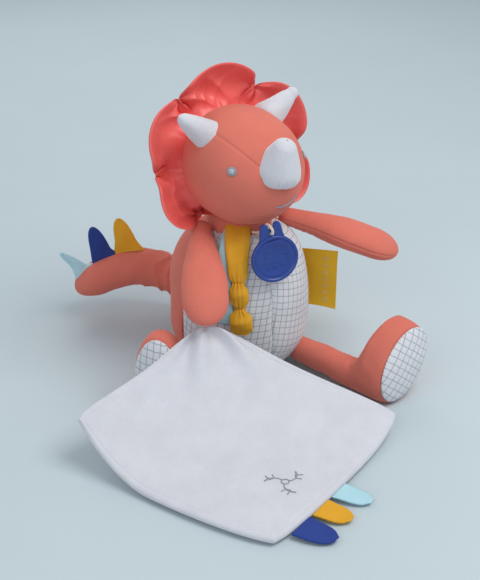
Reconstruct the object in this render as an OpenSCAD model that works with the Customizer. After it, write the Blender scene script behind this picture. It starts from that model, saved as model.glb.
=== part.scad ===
// Seated stuffed dinosaur holding a small plush blanket. Millimetres, +Z up.
// The toy faces -Y, so its own left is +X. Origin: on the floor, under the middle of the seat.

/* [Torso] */
// widest radius of the stuffed body
torso_r = 54; // [45:0.5:62]
// radius of the flat patch it sits on
seat_r = 36; // [25:0.5:42]
// height of the widest ring above the floor
belly_z = 35; // [25:0.5:45]
// height of the body under the head
torso_h = 119.5; // [100:0.5:120.5]
// half angle of the checked front, measured from the centre front
front_half = 82; // [60:1:90]
// thickness of one layer of cloth
cloth = 1.2; // [0.8:0.1:2]

/* [Head] */
// radius of the round back of the head
skull_r = 44; // [38:0.5:50]
// distance from the middle of the head to the tip of the muzzle
muzzle_l = 57; // [48:0.5:66]
// height of the middle of the head
head_z = 163; // [150:0.5:176]
// turn of the head to the toy's left
head_yaw = 7; // [-30:1:30]
// lean of the head to the toy's left
head_roll = 2; // [-10:1:10]
// half angle of the forehead panel about the muzzle axis
gusset_half = 43; // [30:1:55]
// lean of the frill backwards
frill_tilt = 16.4; // [0:0.2:30]
// radius of a brow horn at its base
horn_r = 12; // [9:0.5:15]
// length of a brow horn
horn_l = 32; // [24:0.5:40]
// radius of the nose horn at its base
nose_r = 20; // [16:0.5:23]
// length of the nose horn
nose_l = 35; // [28:0.5:44]

/* [Arms] */
// length of an arm from its seam to the end of the paw
arm_l = 85; // [75:0.5:95]
// half width of the paw
arm_w = 17; // [14:0.5:22]
// half thickness of the paw
arm_h = 10.5; // [9:0.5:16]
// distance of each shoulder seam from the middle
shoulder_x = 40.5; // [38:0.5:44]
// turn of the right arm outwards
arm_yaw_r = 24; // [0:0.5:60]
// droop of the right arm
arm_pitch_r = 23.6; // [0:0.2:60]
// turn of the left arm outwards
arm_yaw_l = 50; // [0:0.5:80]
// droop of the left arm
arm_pitch_l = 14.2; // [0:0.2:60]

/* [Legs] */
// length of a leg from its seam to the sole
leg_l = 89; // [70:0.5:96]
// radius of the leg
leg_r = 11.5; // [9:0.5:16]
// half width of the foot
foot_w = 20; // [16:0.5:24]
// half height of the foot
foot_h = 33; // [28:0.5:38]
// backward lean of the right foot's sole
sole_tilt_r = 10; // [0:1:25]
// backward lean of the left foot's sole
sole_tilt_l = 0; // [-10:1:25]
// turn of the left leg outwards
leg_yaw_l = 19; // [0:0.2:60]
// turn of the right leg outwards
leg_yaw_r = 44; // [0:0.2:70]
// turn of the right sole towards the toy's right
sole_turn_r = 10; // [-20:1:20]
// turn of the left sole towards the toy's right
sole_turn_l = 12; // [-20:1:20]
// roll of the left foot outwards
leg_roll_l = 40; // [0:1:45]

/* [Tail] */
// radius of the tail where it leaves the body
tail_r = 17.5; // [14:0.5:20]
// distance the tail reaches to the toy's right
tail_x = 94; // [60:1:110]
// distance the tail reaches behind the middle
tail_y = 113; // [95:1:125]
// height of the middle of the tail at the body
tail_z = 34; // [30:0.5:42]
// height of a spike
spike_h = 28; // [16:0.5:34]

/* [Blanket and trim] */
// thickness of one layer of plush in the blanket
plush = 2.6; // [1.5:0.1:4]
// side of the flat blanket
blanket_side = 165; // [140:1:200]
// radius of the round medallion
disc_r = 18; // [15:0.5:20]
// width of the sewn label
label_w = 28; // [20:0.5:35]
// height of the sewn label
label_h = 49.5; // [38:0.5:52]

/* [Hidden] */
gap = 0.35;
seam = 0.35;
head_at = [-4, -2, head_z];
muzzle_pitch = 3;
eye_r = 3.2;
coral = [0.80, 0.33, 0.26];
rose = [0.90, 0.36, 0.34];
white = [0.93, 0.93, 0.95];
check = [0.86, 0.88, 0.92];
mustard = [0.85, 0.58, 0.10];
mint = [0.62, 0.82, 0.84];
blue = [0.08, 0.16, 0.50];
grey = [0.55, 0.57, 0.62];
cream = [0.92, 0.86, 0.80];
fill = [0.96, 0.95, 0.92];

// which node to draw, or all

// ---------- helpers ----------
function ease(x) = x <= 0 ? 0 : x >= 1 ? 1 : x * x * (3 - 2 * x);
function mix(a, b, t) = a + (b - a) * t;
function bump(x, c, w) = exp(-pow((x - c) / w, 2));
function ends(s, a, b) =
  s < a ? sqrt(max(0, 1 - pow((a - s) / a, 2))) :
  s > b ? sqrt(max(0, 1 - pow((s - b) / (1 - b), 2))) : 1;
function total(v, i = 0) = i >= len(v) ? 0 : v[i] + total(v, i + 1);

// A closed slab between two offsets of a surface f(u, v, offset), u and v from 0 to 1.
module slab(f, nu, nv, lo, hi) {
  m = (nu + 1) * (nv + 1);
  pts = [for (k = [hi, lo]) for (i = [0:nu]) for (j = [0:nv]) f(i / nu, j / nv, k)];
  id = function(k, i, j) k * m + i * (nv + 1) + j;
  quads = concat(
    [for (i = [0:nu - 1]) for (j = [0:nv - 1]) [id(0, i, j), id(0, i + 1, j), id(0, i + 1, j + 1), id(0, i, j + 1)]],
    [for (i = [0:nu - 1]) for (j = [0:nv - 1]) [id(1, i, j), id(1, i, j + 1), id(1, i + 1, j + 1), id(1, i + 1, j)]],
    [for (i = [0:nu - 1]) [id(0, i, 0), id(1, i, 0), id(1, i + 1, 0), id(0, i + 1, 0)]],
    [for (i = [0:nu - 1]) [id(0, i, nv), id(0, i + 1, nv), id(1, i + 1, nv), id(1, i, nv)]],
    [for (j = [0:nv - 1]) [id(0, 0, j), id(0, 0, j + 1), id(1, 0, j + 1), id(1, 0, j)]],
    [for (j = [0:nv - 1]) [id(0, nu, j), id(1, nu, j), id(1, nu, j + 1), id(0, nu, j + 1)]]);
  tris = [for (q = quads) each [[q[0], q[1], q[2]], [q[0], q[2], q[3]]]];
  oriented(pts, tris);
}

// A closed blob: surface f(v, angle, offset), with rings from v = 0 to 1 and a point at each end.
module blob(f, rings, around, off) {
  body = [for (i = [1:rings - 1]) for (j = [0:around - 1]) f(i / rings, 360 * j / around, off)];
  pts = concat(body, [f(0, 0, off)], [f(1, 0, off)]);
  last = (rings - 1) * around;
  tris = concat(
    [for (i = [0:rings - 3]) for (j = [0:around - 1]) each [
      [i * around + j, (i + 1) * around + j, (i + 1) * around + (j + 1) % around],
      [i * around + j, (i + 1) * around + (j + 1) % around, i * around + (j + 1) % around]]],
    [for (j = [0:around - 1]) [last, j, (j + 1) % around]],
    [for (j = [0:around - 1]) [last + 1, (rings - 2) * around + (j + 1) % around, (rings - 2) * around + j]]);
  oriented(pts, tris);
}

// Faces turned outward, whichever way the surface function runs.
module oriented(pts, tris) {
  vol = total([for (t = tris) pts[t[0]] * cross(pts[t[1]], pts[t[2]])]);
  polyhedron(pts, vol > 0 ? [for (t = tris) [t[2], t[1], t[0]]] : tris, convexity = 8);
}

// ---------- torso ----------
function torso_rad(z) = z < belly_z
  ? torso_r - (torso_r - seat_r) * pow(1 - z / belly_z, 2.2)
  : torso_r * sqrt(max(0, 1 - pow((z - belly_z) / (torso_h - belly_z), 4)));
function torso_pt(k) = let (z = torso_h * (1 - pow(1 - k, 1.5))) [torso_rad(z), z];
function torso_nrm(k) = let (a = torso_pt(max(0, k - 0.01)), b = torso_pt(min(1, k + 0.01)), d = b - a)
  [d[1], -d[0]] / norm(d);
function torso_off(k, t) = torso_pt(k) + t * torso_nrm(k);
torso_at = [-2.5, 0, 0];
torso_steps = 22;
torso_top_k = 0.955;

module torso_profile(from_r) {
  polygon(concat(
    [[from_r, 0]],
    [for (i = [0:torso_steps]) torso_pt(torso_top_k * i / torso_steps)],
    [for (i = [torso_steps:-1:1]) torso_off(torso_top_k * i / torso_steps, -cloth)],
    [[seat_r - 0.6, cloth], [from_r, cloth]]));
}

module torso_panel(from, to, from_r) {
  translate(torso_at) rotate([0, 0, from])
    rotate_extrude(angle = to - from, $fn = 96)
      torso_profile(from_r);
}

module torso_front_left() {
  color(check) torso_panel(-90 + seam, -90 + front_half, 12 + gap);
}
module torso_front_right() {
  color(check) torso_panel(-90 - front_half, -90 - seam, 12 + gap);
}
module torso_back() {
  color(coral) {
    torso_panel(-90 + front_half + seam, 270 - front_half - seam, 11.5);
    translate(torso_at) cylinder(r = 12, h = cloth, $fn = 64);
  }
}
module torso_stuffing() {
  inset = cloth + gap;
  color(fill) translate(torso_at) rotate_extrude($fn = 96)
    polygon(concat(
      [[0, inset], [seat_r - 0.9, inset]],
      [for (i = [1:torso_steps]) torso_off(torso_top_k * i / torso_steps, -inset)],
      [[0, torso_off(torso_top_k, -inset)[1]]]));
}

// ---------- head ----------
function skull_rad(x) = x < 0
  ? sqrt(max(0, skull_r * skull_r - x * x))
  : skull_r * sqrt(max(0, 1 - pow(x / muzzle_l, 2.3)));
function skull_pt(k) = let (x = mix(-skull_r, muzzle_l, (1 - cos(180 * k)) / 2)) [skull_rad(x), x];
function skull_nrm(k) = let (a = skull_pt(max(0, k - 0.01)), b = skull_pt(min(1, k + 0.01)), d = b - a)
  [d[1], -d[0]] / norm(d);
function skull_off(k, t) = skull_pt(k) + t * skull_nrm(k);
skull_steps = 26;
face_k = 0.243;

module in_head() {
  translate(head_at) rotate([0, head_roll, head_yaw]) children();
}
// local Z becomes the muzzle axis, and local Y the top of the head
module on_muzzle() {
  in_head() rotate([90 + muzzle_pitch, 0, 0]) children();
}
module skull_band(k0, k1, outer, inner) {
  steps = ceil((k1 - k0) * skull_steps);
  polygon(concat(
    [for (i = [0:steps]) skull_off(mix(k0, k1, i / steps), outer)],
    [for (i = [steps:-1:0]) skull_off(mix(k0, k1, i / steps), inner)]));
}
module skull_solid(t) {
  rotate_extrude($fn = 96)
    polygon(concat(
      [[0, -skull_r - t]],
      [for (i = [1:skull_steps - 1]) skull_off(i / skull_steps, t)],
      [[0, muzzle_l + t]]));
}
module face_panel(from, to) {
  on_muzzle() rotate([0, 0, from])
    rotate_extrude(angle = to - from, $fn = 96)
      skull_band(face_k, 0.985, 0, -cloth);
}
module head_gusset() {
  color(coral) face_panel(90 - gusset_half + seam, 90 + gusset_half - seam);
}
module head_side_left() {
  color(coral) face_panel(-90 + seam, 90 - gusset_half - seam);
}
module head_side_right() {
  color(coral) face_panel(90 + gusset_half + seam, 270 - seam);
}
module head_back() {
  color(coral) on_muzzle() rotate_extrude($fn = 96)
    intersection() {
      skull_band(0, face_k - 0.004, 0, -cloth);
      translate([0, -100]) square([100, 200]);
    }
}
module head_stuffing() {
  color(fill) on_muzzle() skull_solid(-cloth - gap);
}

// The frill lies in a plane that leans back; angle 0 is its top, and the radius has five lobes.
function lobe(a) = let (b = abs(a))
  b < 34 ? mix(60, 71, pow(max(0, cos(90 * b / 34)), 0.6)) :
  b < 90 ? mix(mix(60, 62, (b - 34) / 56), 75, pow(max(0, sin(180 * (b - 34) / 56)), 0.75)) :
  mix(mix(62, 46, (b - 90) / 52), 72, 0.95 * pow(max(0, sin(180 * (b - 90) / 52)), 0.7));
function pucker(a) = let (b = abs(a)) bump(b, 34, 6) + bump(b, 90, 6) + bump(b, 142, 6);
frill_half = 142;
function frill_pt(u, v, t) = let (
  a = mix(-frill_half, frill_half, u),
  r0 = skull_r - 1.9 - 1.6 * cos(a),
  r = mix(r0, lobe(a), v),
  puff = 5.2 * sin(180 * v) * (1 - 0.75 * pucker(a)) + 2.0 - 0.7 * v,
  lift = 11 * pow(v, 2) * (1 - 0.9 * pucker(a)) - 5 * sin(180 * v),
  side = sign(t),
  off = side * (max(0.2, puff) - (abs(t) - 1)))
  [r * sin(a), -lift - off, r * cos(a)];
module in_frill() {
  in_head() translate([0, 16, -3]) rotate([-frill_tilt, 0, 0]) children();
}
module frill_front() {
  color(rose) in_frill() slab(function(u, v, t) frill_pt(u, v, t), 64, 5, 1, 1.9);
}
module frill_back() {
  color(rose) in_frill() slab(function(u, v, t) frill_pt(u, v, -t), 64, 5, 1, 1.9);
}
module frill_wadding() {
  fill_pt = function(u, v, t) frill_pt(mix(0.03, 0.97, u), mix(0.14, 0.86, v), sign(t) * 2.7);
  color(fill) in_frill() slab(fill_pt, 64, 5, -1, 1);
}

// A stuffed horn: a round cone with a soft tip, trimmed to the head it is sewn to.
module horn_shape(r, l, inset) {
  rotate_extrude($fn = 64)
    polygon(concat(
      [[0, -12]],
      [for (i = [0:5]) let (z = 2.4 * i - 12) [(r - inset) * sqrt(1 - pow(z / 12.6, 2)), z]],
      [for (i = [1:14])
        let (s = i / 14, z = (l - inset) * s)
        [max(0, (mix(r, r * 0.28, pow(s, r > 15 ? 1.6 : 1.15)) - inset) * ends(s, 0.001, 0.86)), z]]));
}
module brow_at(side) {
  in_head() translate(side > 0 ? [27, 5, 28] : [-25, 3.5, 25.5])
    rotate([0, side * 54, 0]) rotate([4, 0, 0]) children();
}
module nose_at() {
  in_head() translate([0, -45, 2]) rotate([20, 0, 0]) children();
}
module horn_shell() {
  difference() {
    children(0);
    children(1);
    on_muzzle() skull_solid(gap);
  }
}
module brow_horn(side) {
  horn_shell() {
    brow_at(side) horn_shape(horn_r, horn_l, 0);
    brow_at(side) horn_shape(horn_r, horn_l, 1.5);
  }
}
module horn_core() {
  difference() {
    children(0);
    on_muzzle() skull_solid(gap);
  }
}
module brow_horn_left() {
  color(white) brow_horn(1);
}
module brow_horn_right() {
  color(white) brow_horn(-1);
}
module nose_horn() {
  color(white) horn_shell() {
    nose_at() horn_shape(nose_r, nose_l, 0);
    nose_at() horn_shape(nose_r, nose_l, 1.5);
  }
}
module brow_horn_left_stuffing() {
  color(fill) horn_core() brow_at(1) horn_shape(horn_r, horn_l, 1.5 + gap);
}
module brow_horn_right_stuffing() {
  color(fill) horn_core() brow_at(-1) horn_shape(horn_r, horn_l, 1.5 + gap);
}
module nose_horn_stuffing() {
  color(fill) horn_core() nose_at() horn_shape(nose_r, nose_l, 1.5 + gap);
}

// Satin-stitched eye: a small domed oval just proud of the side panel.
module eye(side) {
  color(grey) intersection() {
    difference() {
      on_muzzle() skull_solid(gap + 0.9);
      on_muzzle() skull_solid(gap);
    }
    in_head() rotate([-13, 0, side * 41]) rotate([90, 0, 0])
      translate([0, 0, 30]) cylinder(r = eye_r, h = 30, $fn = 48);
  }
}
module eye_left() {
  eye(1);
}
module eye_right() {
  eye(-1);
}
module mouth() {
  color(grey) on_muzzle() translate([1.5, 0.6, 55.9])
    rotate([0, 0, 270 - 24]) rotate_extrude(angle = 74, $fn = 96)
      translate([15.6, 0]) circle(r = 0.7, $fn = 24);
}

// ---------- arms ----------
function arm_half_w(s) = arm_w * mix(0.45, 1, ease(s / 0.62)) * ends(s, 0.07, 0.74);
function arm_half_h(s) = arm_h * mix(0.6, 1, ease(s / 0.42)) * ends(s, 0.07, 0.74);
function arm_pt(v, a, t) = let (
  s = (1 - cos(180 * v)) / 2,
  e = ends(s, 0.07, 0.74),
  y = -t + (arm_l + 2 * t) * s)
  [(arm_half_w(s) + t * e) * cos(a), -y, (arm_half_h(s) + t * e) * sin(a) + 2.5 * sin(180 * s)];
module in_arm(side) {
  yaw = side > 0 ? arm_yaw_l : -arm_yaw_r;
  pitch = side > 0 ? arm_pitch_l : arm_pitch_r;
  root = side > 0 ? [shoulder_x, -6, 109.5] : [2.2 - shoulder_x, -7.7, 115.2];
  translate(root) rotate([pitch, 0, yaw]) children();
}
module arm_panel(side, from, to) {
  in_arm(side)
    slab(function(u, v, t) arm_pt(mix(0.05, 0.97, u), mix(from, to, v), t), 14, 9, -cloth, 0);
}
module arm_stuffing(side) {
  in_arm(side) blob(function(v, a, t) arm_pt(v, a, t), 14, 16, -cloth - 0.6);
}
module arm_left_top() {
  color(coral) arm_panel(1, 1, 179);
}
module arm_left_under() {
  color(coral) arm_panel(1, 181, 359);
}
module arm_left_stuffing() {
  color(fill) arm_stuffing(1);
}
module arm_right_top() {
  color(coral) arm_panel(-1, 1, 179);
}
module arm_right_under() {
  color(coral) arm_panel(-1, 181, 359);
}
module arm_right_stuffing() {
  color(fill) arm_stuffing(-1);
}

// ---------- legs ----------
hip_z = leg_r + 1.2;
function foot_in(s) = ease((s - 0.58) / 0.19);
function leg_slim(s) = 0.88 + 0.12 * ease(s / 0.5);
function sole_round(s) = 1 - 0.12 * pow(max(0, (s - 0.86) / 0.14), 2);
function leg_w(s) = mix(leg_r * leg_slim(s), foot_w, foot_in(s)) * ends(s, 0.14, 1.001) * sole_round(s);
function leg_h(s) = mix(leg_r * leg_slim(s), foot_h, foot_in(s)) * ends(s, 0.14, 1.001) * sole_round(s);
function leg_pt(side, s, a, t) = let (
  e = ends(s, 0.14, 1.001),
  rise = (foot_h - leg_r - 0.5) * foot_in(s),
  z = (leg_h(s) + t * e) * sin(a) + rise,
  x = (leg_w(s) + t * e) * cos(a),
  slope = side > 0 ? [tan(sole_turn_l), tan(sole_tilt_l)] : [tan(sole_turn_r), tan(sole_tilt_r)],
  reach = side > 0 ? leg_l : leg_l - 15.8,
  y = reach * s - t * (1 - 2 * s) + (slope[0] * x - slope[1] * z) * ease((s - 0.55) / 0.45))
  [x, -y, z];
module in_leg(side) {
  yaw = side > 0 ? leg_yaw_l : -leg_yaw_r;
  root = side > 0 ? [32, -39] : [-53, -9.6];
  translate([root[0], root[1], hip_z]) rotate([0, 0, yaw])
    rotate([0, side > 0 ? leg_roll_l : 0, 0]) children();
}
module leg_panel(side, from, to) {
  in_leg(side)
    slab(function(u, v, t) leg_pt(side, mix(0.012, 0.985, u), mix(from, to, v), t), 22, 11, -cloth, 0);
}
module leg_stuffing(side) {
  pt = function(v, a, t) let (
    s = min(0.975, 0.975 * v / 0.93),
    cap = leg_pt(side, 0.975, 0, t))
    v > 0.94 ? [0, cap[1], cap[2]] : leg_pt(side, s, a, t);
  in_leg(side) blob(pt, 20, 18, -cloth - 1.1);
}
// The checked sole closes the end of the foot.
module leg_sole(side) {
  in_leg(side)
    slab(function(u, v, t) let (
      p = leg_pt(side, 0.985, mix(2, 178, u), 0),
      q = leg_pt(side, 0.985, -mix(2, 178, u), 0),
      m = mix(q, p, v))
      [m[0], m[1] - 0.6 - t - 3.5 * sin(180 * u) * sin(180 * v), m[2]], 16, 10, 0, cloth);
}
module leg_left_outer() {
  color(coral) leg_panel(1, -89, 89);
}
module leg_left_inner() {
  color(coral) leg_panel(1, 91, 269);
}
module leg_left_sole() {
  color(check) leg_sole(1);
}
module leg_left_stuffing() {
  color(fill) leg_stuffing(1);
}
module leg_right_outer() {
  color(coral) leg_panel(-1, 91, 269);
}
module leg_right_inner() {
  color(coral) leg_panel(-1, -89, 89);
}
module leg_right_sole() {
  color(check) leg_sole(-1);
}
module leg_right_stuffing() {
  color(fill) leg_stuffing(-1);
}

// ---------- tail ----------
// The tail leaves the back and swings round to the toy's right.
tail_root = [-3, 57, tail_z];
function tail_mid(s) = let (a = 78 * s)
  [tail_root[0] - (tail_x - 2) * pow(s, 1.35),
   tail_root[1] + (tail_y - tail_root[1]) * sin(a) / sin(78),
   tail_z + 9 * bump(s, 0.58, 0.24) - 11 * pow(s, 8)];
function tail_dir(s) = let (d = tail_mid(min(1, s + 0.02)) - tail_mid(max(0, s - 0.02))) d / norm(d);
function tail_rad(s) = mix(tail_r, tail_r * 0.8, s) * ends(s, 0.14, 0.84);
function tail_pt(s, a, t) = let (
  d = tail_dir(s),
  side = cross(d, [0, 0, 1]) / norm(cross(d, [0, 0, 1])),
  up = cross(side, d),
  r = tail_rad(s) + t * ends(s, 0.14, 0.84))
  tail_mid(s) - d * t * (1 - 2 * s) + side * r * cos(a) + up * r * sin(a);
module tail_panel(from, to) {
  slab(function(u, v, t) tail_pt(mix(0.012, 0.985, u), mix(from, to, v), t), 18, 8, -cloth, 0);
}
module tail_right() {
  color(coral) tail_panel(91, 269);
}
module tail_left() {
  color(coral) tail_panel(-89, 89);
}
module tail_stuffing() {
  color(fill) blob(function(v, a, t) tail_pt(v, a, t), 18, 14, -cloth - 0.6);
}
// A flat padded spike standing on the ridge seam, leaning towards the tip.
module spike(s, base, high, lean) {
  m = tail_pt(s, 90, 0.5);
  d = tail_dir(s);
  pt = function(u, v, t) let (
    x = (u - 0.5) * base * (1 - 0.5 * v) * sqrt(1.04 - pow(v, 5)) + lean * v,
    z = high * v,
    q = tail_pt(min(0.97, max(0, s + x / 125)), 90, 0.5),
    foot = mix(q, m, ease(v * 3)))
    [foot[0] + d[0] * x * ease(v * 3), foot[1] + d[1] * x * ease(v * 3), foot[2] + z]
    + cross(d, [0, 0, 1]) * t * (1.1 + 1.1 * sin(180 * u) * (1 - v));
  slab(pt, 8, 6, -1, 1);
}
module spike_mustard() {
  color(mustard) spike(0.615, 18, spike_h, 7);
}
module spike_blue() {
  color(blue) spike(0.76, 18, spike_h, 8);
}
module spike_mint() {
  color(mint) spike(0.895, 14, spike_h * 0.6, 19);
}

// ---------- tie, medallion, label ----------
// A point over the torso: angle from the centre front towards the toy's left, height and offset.
function over_torso(a, z, t) = let (
  r = torso_rad(z), g = (torso_rad(z + 1) - torso_rad(z - 1)) / 2, n = [1, -g] / norm([1, -g]))
  torso_at + [(r + t * n[0]) * sin(a), -(r + t * n[0]) * cos(a), z + t * n[1]];
function tie_half(v) = 9.2 - 2.4 * ease(v / 0.3) - 2.6 * bump(v, 0.4, 0.04) - 1.4 * ease((v - 0.38) / 0.1)
  - 2.6 * bump(v, 0.68, 0.05) + ease((v - 0.7) / 0.1) - 4.5 * ease((v - 0.93) / 0.14);
function tie_thick(v) = 1.4 + 2.6 * bump(v, 0.52, 0.09) + 3.2 * bump(v, 0.85, 0.1) + 1.2 * bump(v, 0.2, 0.2);
module tie_mustard() {
  pt = function(u, v, t) let (
    z = mix(114, 48.5, v),
    r = torso_rad(z),
    a = -30.5 + 4.5 * v + (u - 0.5) * 2 * tie_half(v) / r * 57.3,
    lift = 3.6 + (t > 0 ? tie_thick(v) * (0.35 + 0.65 * sin(180 * u)) : 0))
    over_torso(a, z, lift);
  color(mustard) slab(pt, 8, 34, -1, 1);
}
module tie_mint() {
  pt = function(u, v, t) let (
    z = mix(113, 56, v),
    r = torso_rad(z),
    a = -43 + 6 * v + (u - 0.5) * 2 * 5 / r * 57.3)
    over_torso(a, z, t > 0 ? 2.9 : 1.5);
  color(mint) slab(pt, 4, 20, -1, 1);
}
disc_at = [-3.3, -55, 107.5];
disc_tilt = 4;
disc_roll = 7;
module in_disc() {
  translate(disc_at) rotate([0, 0, -8]) rotate([90 - disc_tilt, 0, 0]) rotate([0, 0, disc_roll]) children();
}
module lug_side(x) {
  translate([x, disc_r + 7.2, 0]) cylinder(r = 2.6, h = 2.6, $fn = 32);
}
module medallion() {
  color(blue) in_disc() {
    cylinder(r = disc_r, h = 2.6, $fn = 96);
    difference() {
      translate([0, 0, 2.6]) cylinder(r = disc_r, h = 0.9, $fn = 96);
      translate([0, 0, 2.5]) cylinder(r = disc_r - 2.2, h = 2, $fn = 96);
    }
    difference() {
      linear_extrude(2.6) polygon([[-9, disc_r - 5], [9, disc_r - 5], [7, disc_r + 7.5], [4, disc_r + 7.5],
        [2.2, disc_r + 5.6], [-2.2, disc_r + 5.6], [-4, disc_r + 7.5], [-7, disc_r + 7.5]]);
      translate([0, disc_r + 2.2, -1]) cylinder(r = 1.9, h = 5, $fn = 48);
    }
    lug_side(-5);
    lug_side(5);
  }
}
// The cord comes forward from the neck seam over the notch, down the front of the bar between notch
// and hole, back through the hole and to the neck seam again. Offsets from the middle of that bar.
cord_r = 1.1;
cord_way = [[0, 27, -13], [-1, 15, -8], [-1.2, 5, 1.8], [-0.5, 0.7, 2.9], [-0.1, -3.1, 0.8],
  [0.2, -2.6, -2.2], [0.4, 0.6, -2.8], [1.6, 5, -4.0], [5, 15, -9], [10, 27, -14]];
bar_at = disc_at + [-2.7, 0.7, disc_r + 4.7];
function cord_mid(k) = let (
  n = len(cord_way) - 1, x = min(n - 0.0001, max(0, k * n)), i = floor(x), f = x - i,
  a = cord_way[max(0, i - 1)], b = cord_way[i], c = cord_way[i + 1], d = cord_way[min(n, i + 2)])
  bar_at + 0.5 * (2 * b + (c - a) * f + (2 * a - 5 * b + 4 * c - d) * pow(f, 2) + (3 * b - a - 3 * c + d) * pow(f, 3));
module medallion_cord() {
  pt = function(u, v, t) let (
    p = cord_mid(u),
    d = cord_mid(min(1, u + 0.01)) - cord_mid(max(0, u - 0.01)),
    n1 = cross(d, [1, 0.1, 0]) / norm(cross(d, [1, 0.1, 0])),
    n2 = cross(d, n1) / norm(d),
    a = mix(2, 358, v))
    p + (n1 * cos(a) + n2 * sin(a)) * t;
  color(cream) slab(pt, 36, 8, 0.35, cord_r);
}
label_z = 30;
label_turn = -39;
// The label hangs from the side seam; its free lower corner droops a little.
module label() {
  side_at = function(z) torso_at + [torso_rad(z) + 1.2, -2, z];
  out = [cos(label_turn), sin(label_turn), 0];
  pt = function(u, v, t) let (
    z = label_z + label_h * v,
    w = label_w + torso_r - torso_rad(z))
    side_at(z) + out * w * u + [sin(-label_turn), cos(label_turn), 0] * t + [0, 0, -3 * pow(u, 2) * (1 - v)];
  color(mustard) slab(pt, 8, 10, 0, 1.2);
}

// ---------- blanket ----------
// Corner a is sewn to the right paw, b lies to the toy's right, c is farthest out, d to its left.
corner_a = [-63.0, -63.0, 70];
corner_b = [-173.5, -78.0, 37.5];
corner_c = [-97.5, -228.0, 4];
corner_d = [50.0, -151.0, 13];
function edge_ab(s) = corner_b[2] + (corner_a[2] - corner_b[2]) * pow(1 - s, 1.3);
function edge_ad(r) = corner_d[2] + (corner_a[2] - corner_d[2]) * pow(1 - r, 1.05);
function edge_bc(r) = corner_c[2] + (corner_b[2] - corner_c[2]) * pow(max(0, 1 - r / 0.4), 1.6);
function edge_dc(s) = corner_c[2] + (corner_d[2] - corner_c[2]) * pow(max(0, 1 - s / 0.3), 1.6);
function blanket_mid(s, r) = let (
  p = mix(mix(corner_a, corner_b, s), mix(corner_d, corner_c, s), r),
  z = mix(edge_ab(s), edge_dc(s), r) + mix(edge_ad(r), edge_bc(r), s)
    - mix(mix(corner_a[2], corner_b[2], s), mix(corner_d[2], corner_c[2], s), r),
  ridge = 4 * bump(s - r, 0, 0.12) * pow(1 - max(s, r), 2),
  spread = 10 * (s - r) / (0.07 + abs(s - r)) * bump(max(s, r), 0.05, 0.26),
  belly_bc = 7 * sin(180 * r) * pow(s, 3),
  belly_dc = 2.5 * sin(180 * s) * pow(r, 3),
  p2 = p + belly_bc * [-0.89, -0.45, 0] + belly_dc * [0.44, -0.9, 0])
  [p2[0] - 0.92 * spread, p2[1] + 0.2 * spread, max(corner_c[2], z) + ridge];
function round_corner(x, y) = let (k = 0.045, c = pow(abs(2 * x - 1), 6) * pow(abs(2 * y - 1), 6)) k * c;
function blanket_pt(u, v, t) = let (
  s = mix(u, 0.5, round_corner(u, v)), r = mix(v, 0.5, round_corner(u, v)),
  thin = 1 - 0.45 * (pow(abs(2 * u - 1), 8) + pow(abs(2 * v - 1), 8)) / 2,
  p = blanket_mid(s, r))
  [p[0], p[1], p[2] + t * thin];
module blanket_top() {
  color(white) slab(function(u, v, t) blanket_pt(u, v, t), 18, 18, 0.2, 0.2 + plush);
}
module blanket_bottom() {
  color(white) slab(function(u, v, t) blanket_pt(u, v, t), 18, 18, -0.2 - plush, -0.2);
}
// A small generic line drawing, stitched near the far corner.
module blanket_motif() {
  pt = function(u, v, t) let (
    a = 300 * u,
    s = 0.66 + (0.085 + 0.03 * sin(3 * a)) * cos(a) + 0.006 * (v - 0.5) * cos(a),
    r = 0.82 + (0.075 + 0.02 * cos(2 * a)) * sin(a) + 0.006 * (v - 0.5) * sin(a),
    p = blanket_mid(s, r))
    [p[0], p[1], p[2] + plush + 0.6 + t];
  color(grey) slab(pt, 40, 1, 0, 0.5);
}
// Folded ribbon tags sewn into the edge beside the far corner.
module tag(r, wide, long, turn) {
  root = blanket_mid(1 - r, 1);
  out = [0.45, -0.89, 0];
  along = [0.89, 0.45, 0];
  pt = function(u, v, t) let (
    w = wide * (u - 0.5) * sqrt(max(0.04, 1 - pow(v, 2.5))))
    [root[0] + along[0] * w + (out[0] + along[0] * turn) * long * v + out[0] * 1.6,
     root[1] + along[1] * w + (out[1] + along[1] * turn) * long * v + out[1] * 1.6,
     2.6 - 1.2 * v + t * 0.7];
  slab(pt, 6, 6, -1, 1);
}
module tag_blue() {
  color(blue) tag(0.16, 21, 24, 0.1);
}
module tag_mustard() {
  color(mustard) tag(0.30, 19, 21, 0.1);
}
module tag_mint() {
  color(mint) tag(0.435, 17, 22, 0.15);
}

torso_front_left();
torso_front_right();
torso_back();
torso_stuffing();
head_gusset();
head_side_left();
head_side_right();
head_back();
head_stuffing();
frill_front();
frill_back();
frill_wadding();
brow_horn_left();
brow_horn_right();
nose_horn();
brow_horn_left_stuffing();
brow_horn_right_stuffing();
nose_horn_stuffing();
eye_left();
eye_right();
mouth();
arm_left_top();
arm_left_under();
arm_left_stuffing();
arm_right_top();
arm_right_under();
arm_right_stuffing();
leg_left_outer();
leg_left_inner();
leg_left_sole();
leg_left_stuffing();
leg_right_outer();
leg_right_inner();
leg_right_sole();
leg_right_stuffing();
tail_right();
tail_left();
tail_stuffing();
spike_mustard();
spike_blue();
spike_mint();
tie_mustard();
tie_mint();
medallion();
medallion_cord();
label();
blanket_top();
blanket_bottom();
blanket_motif();
tag_mint();
tag_mustard();
tag_blue();
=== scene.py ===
"""Looks of the seated stuffed dinosaur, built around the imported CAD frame."""
import math

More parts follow.
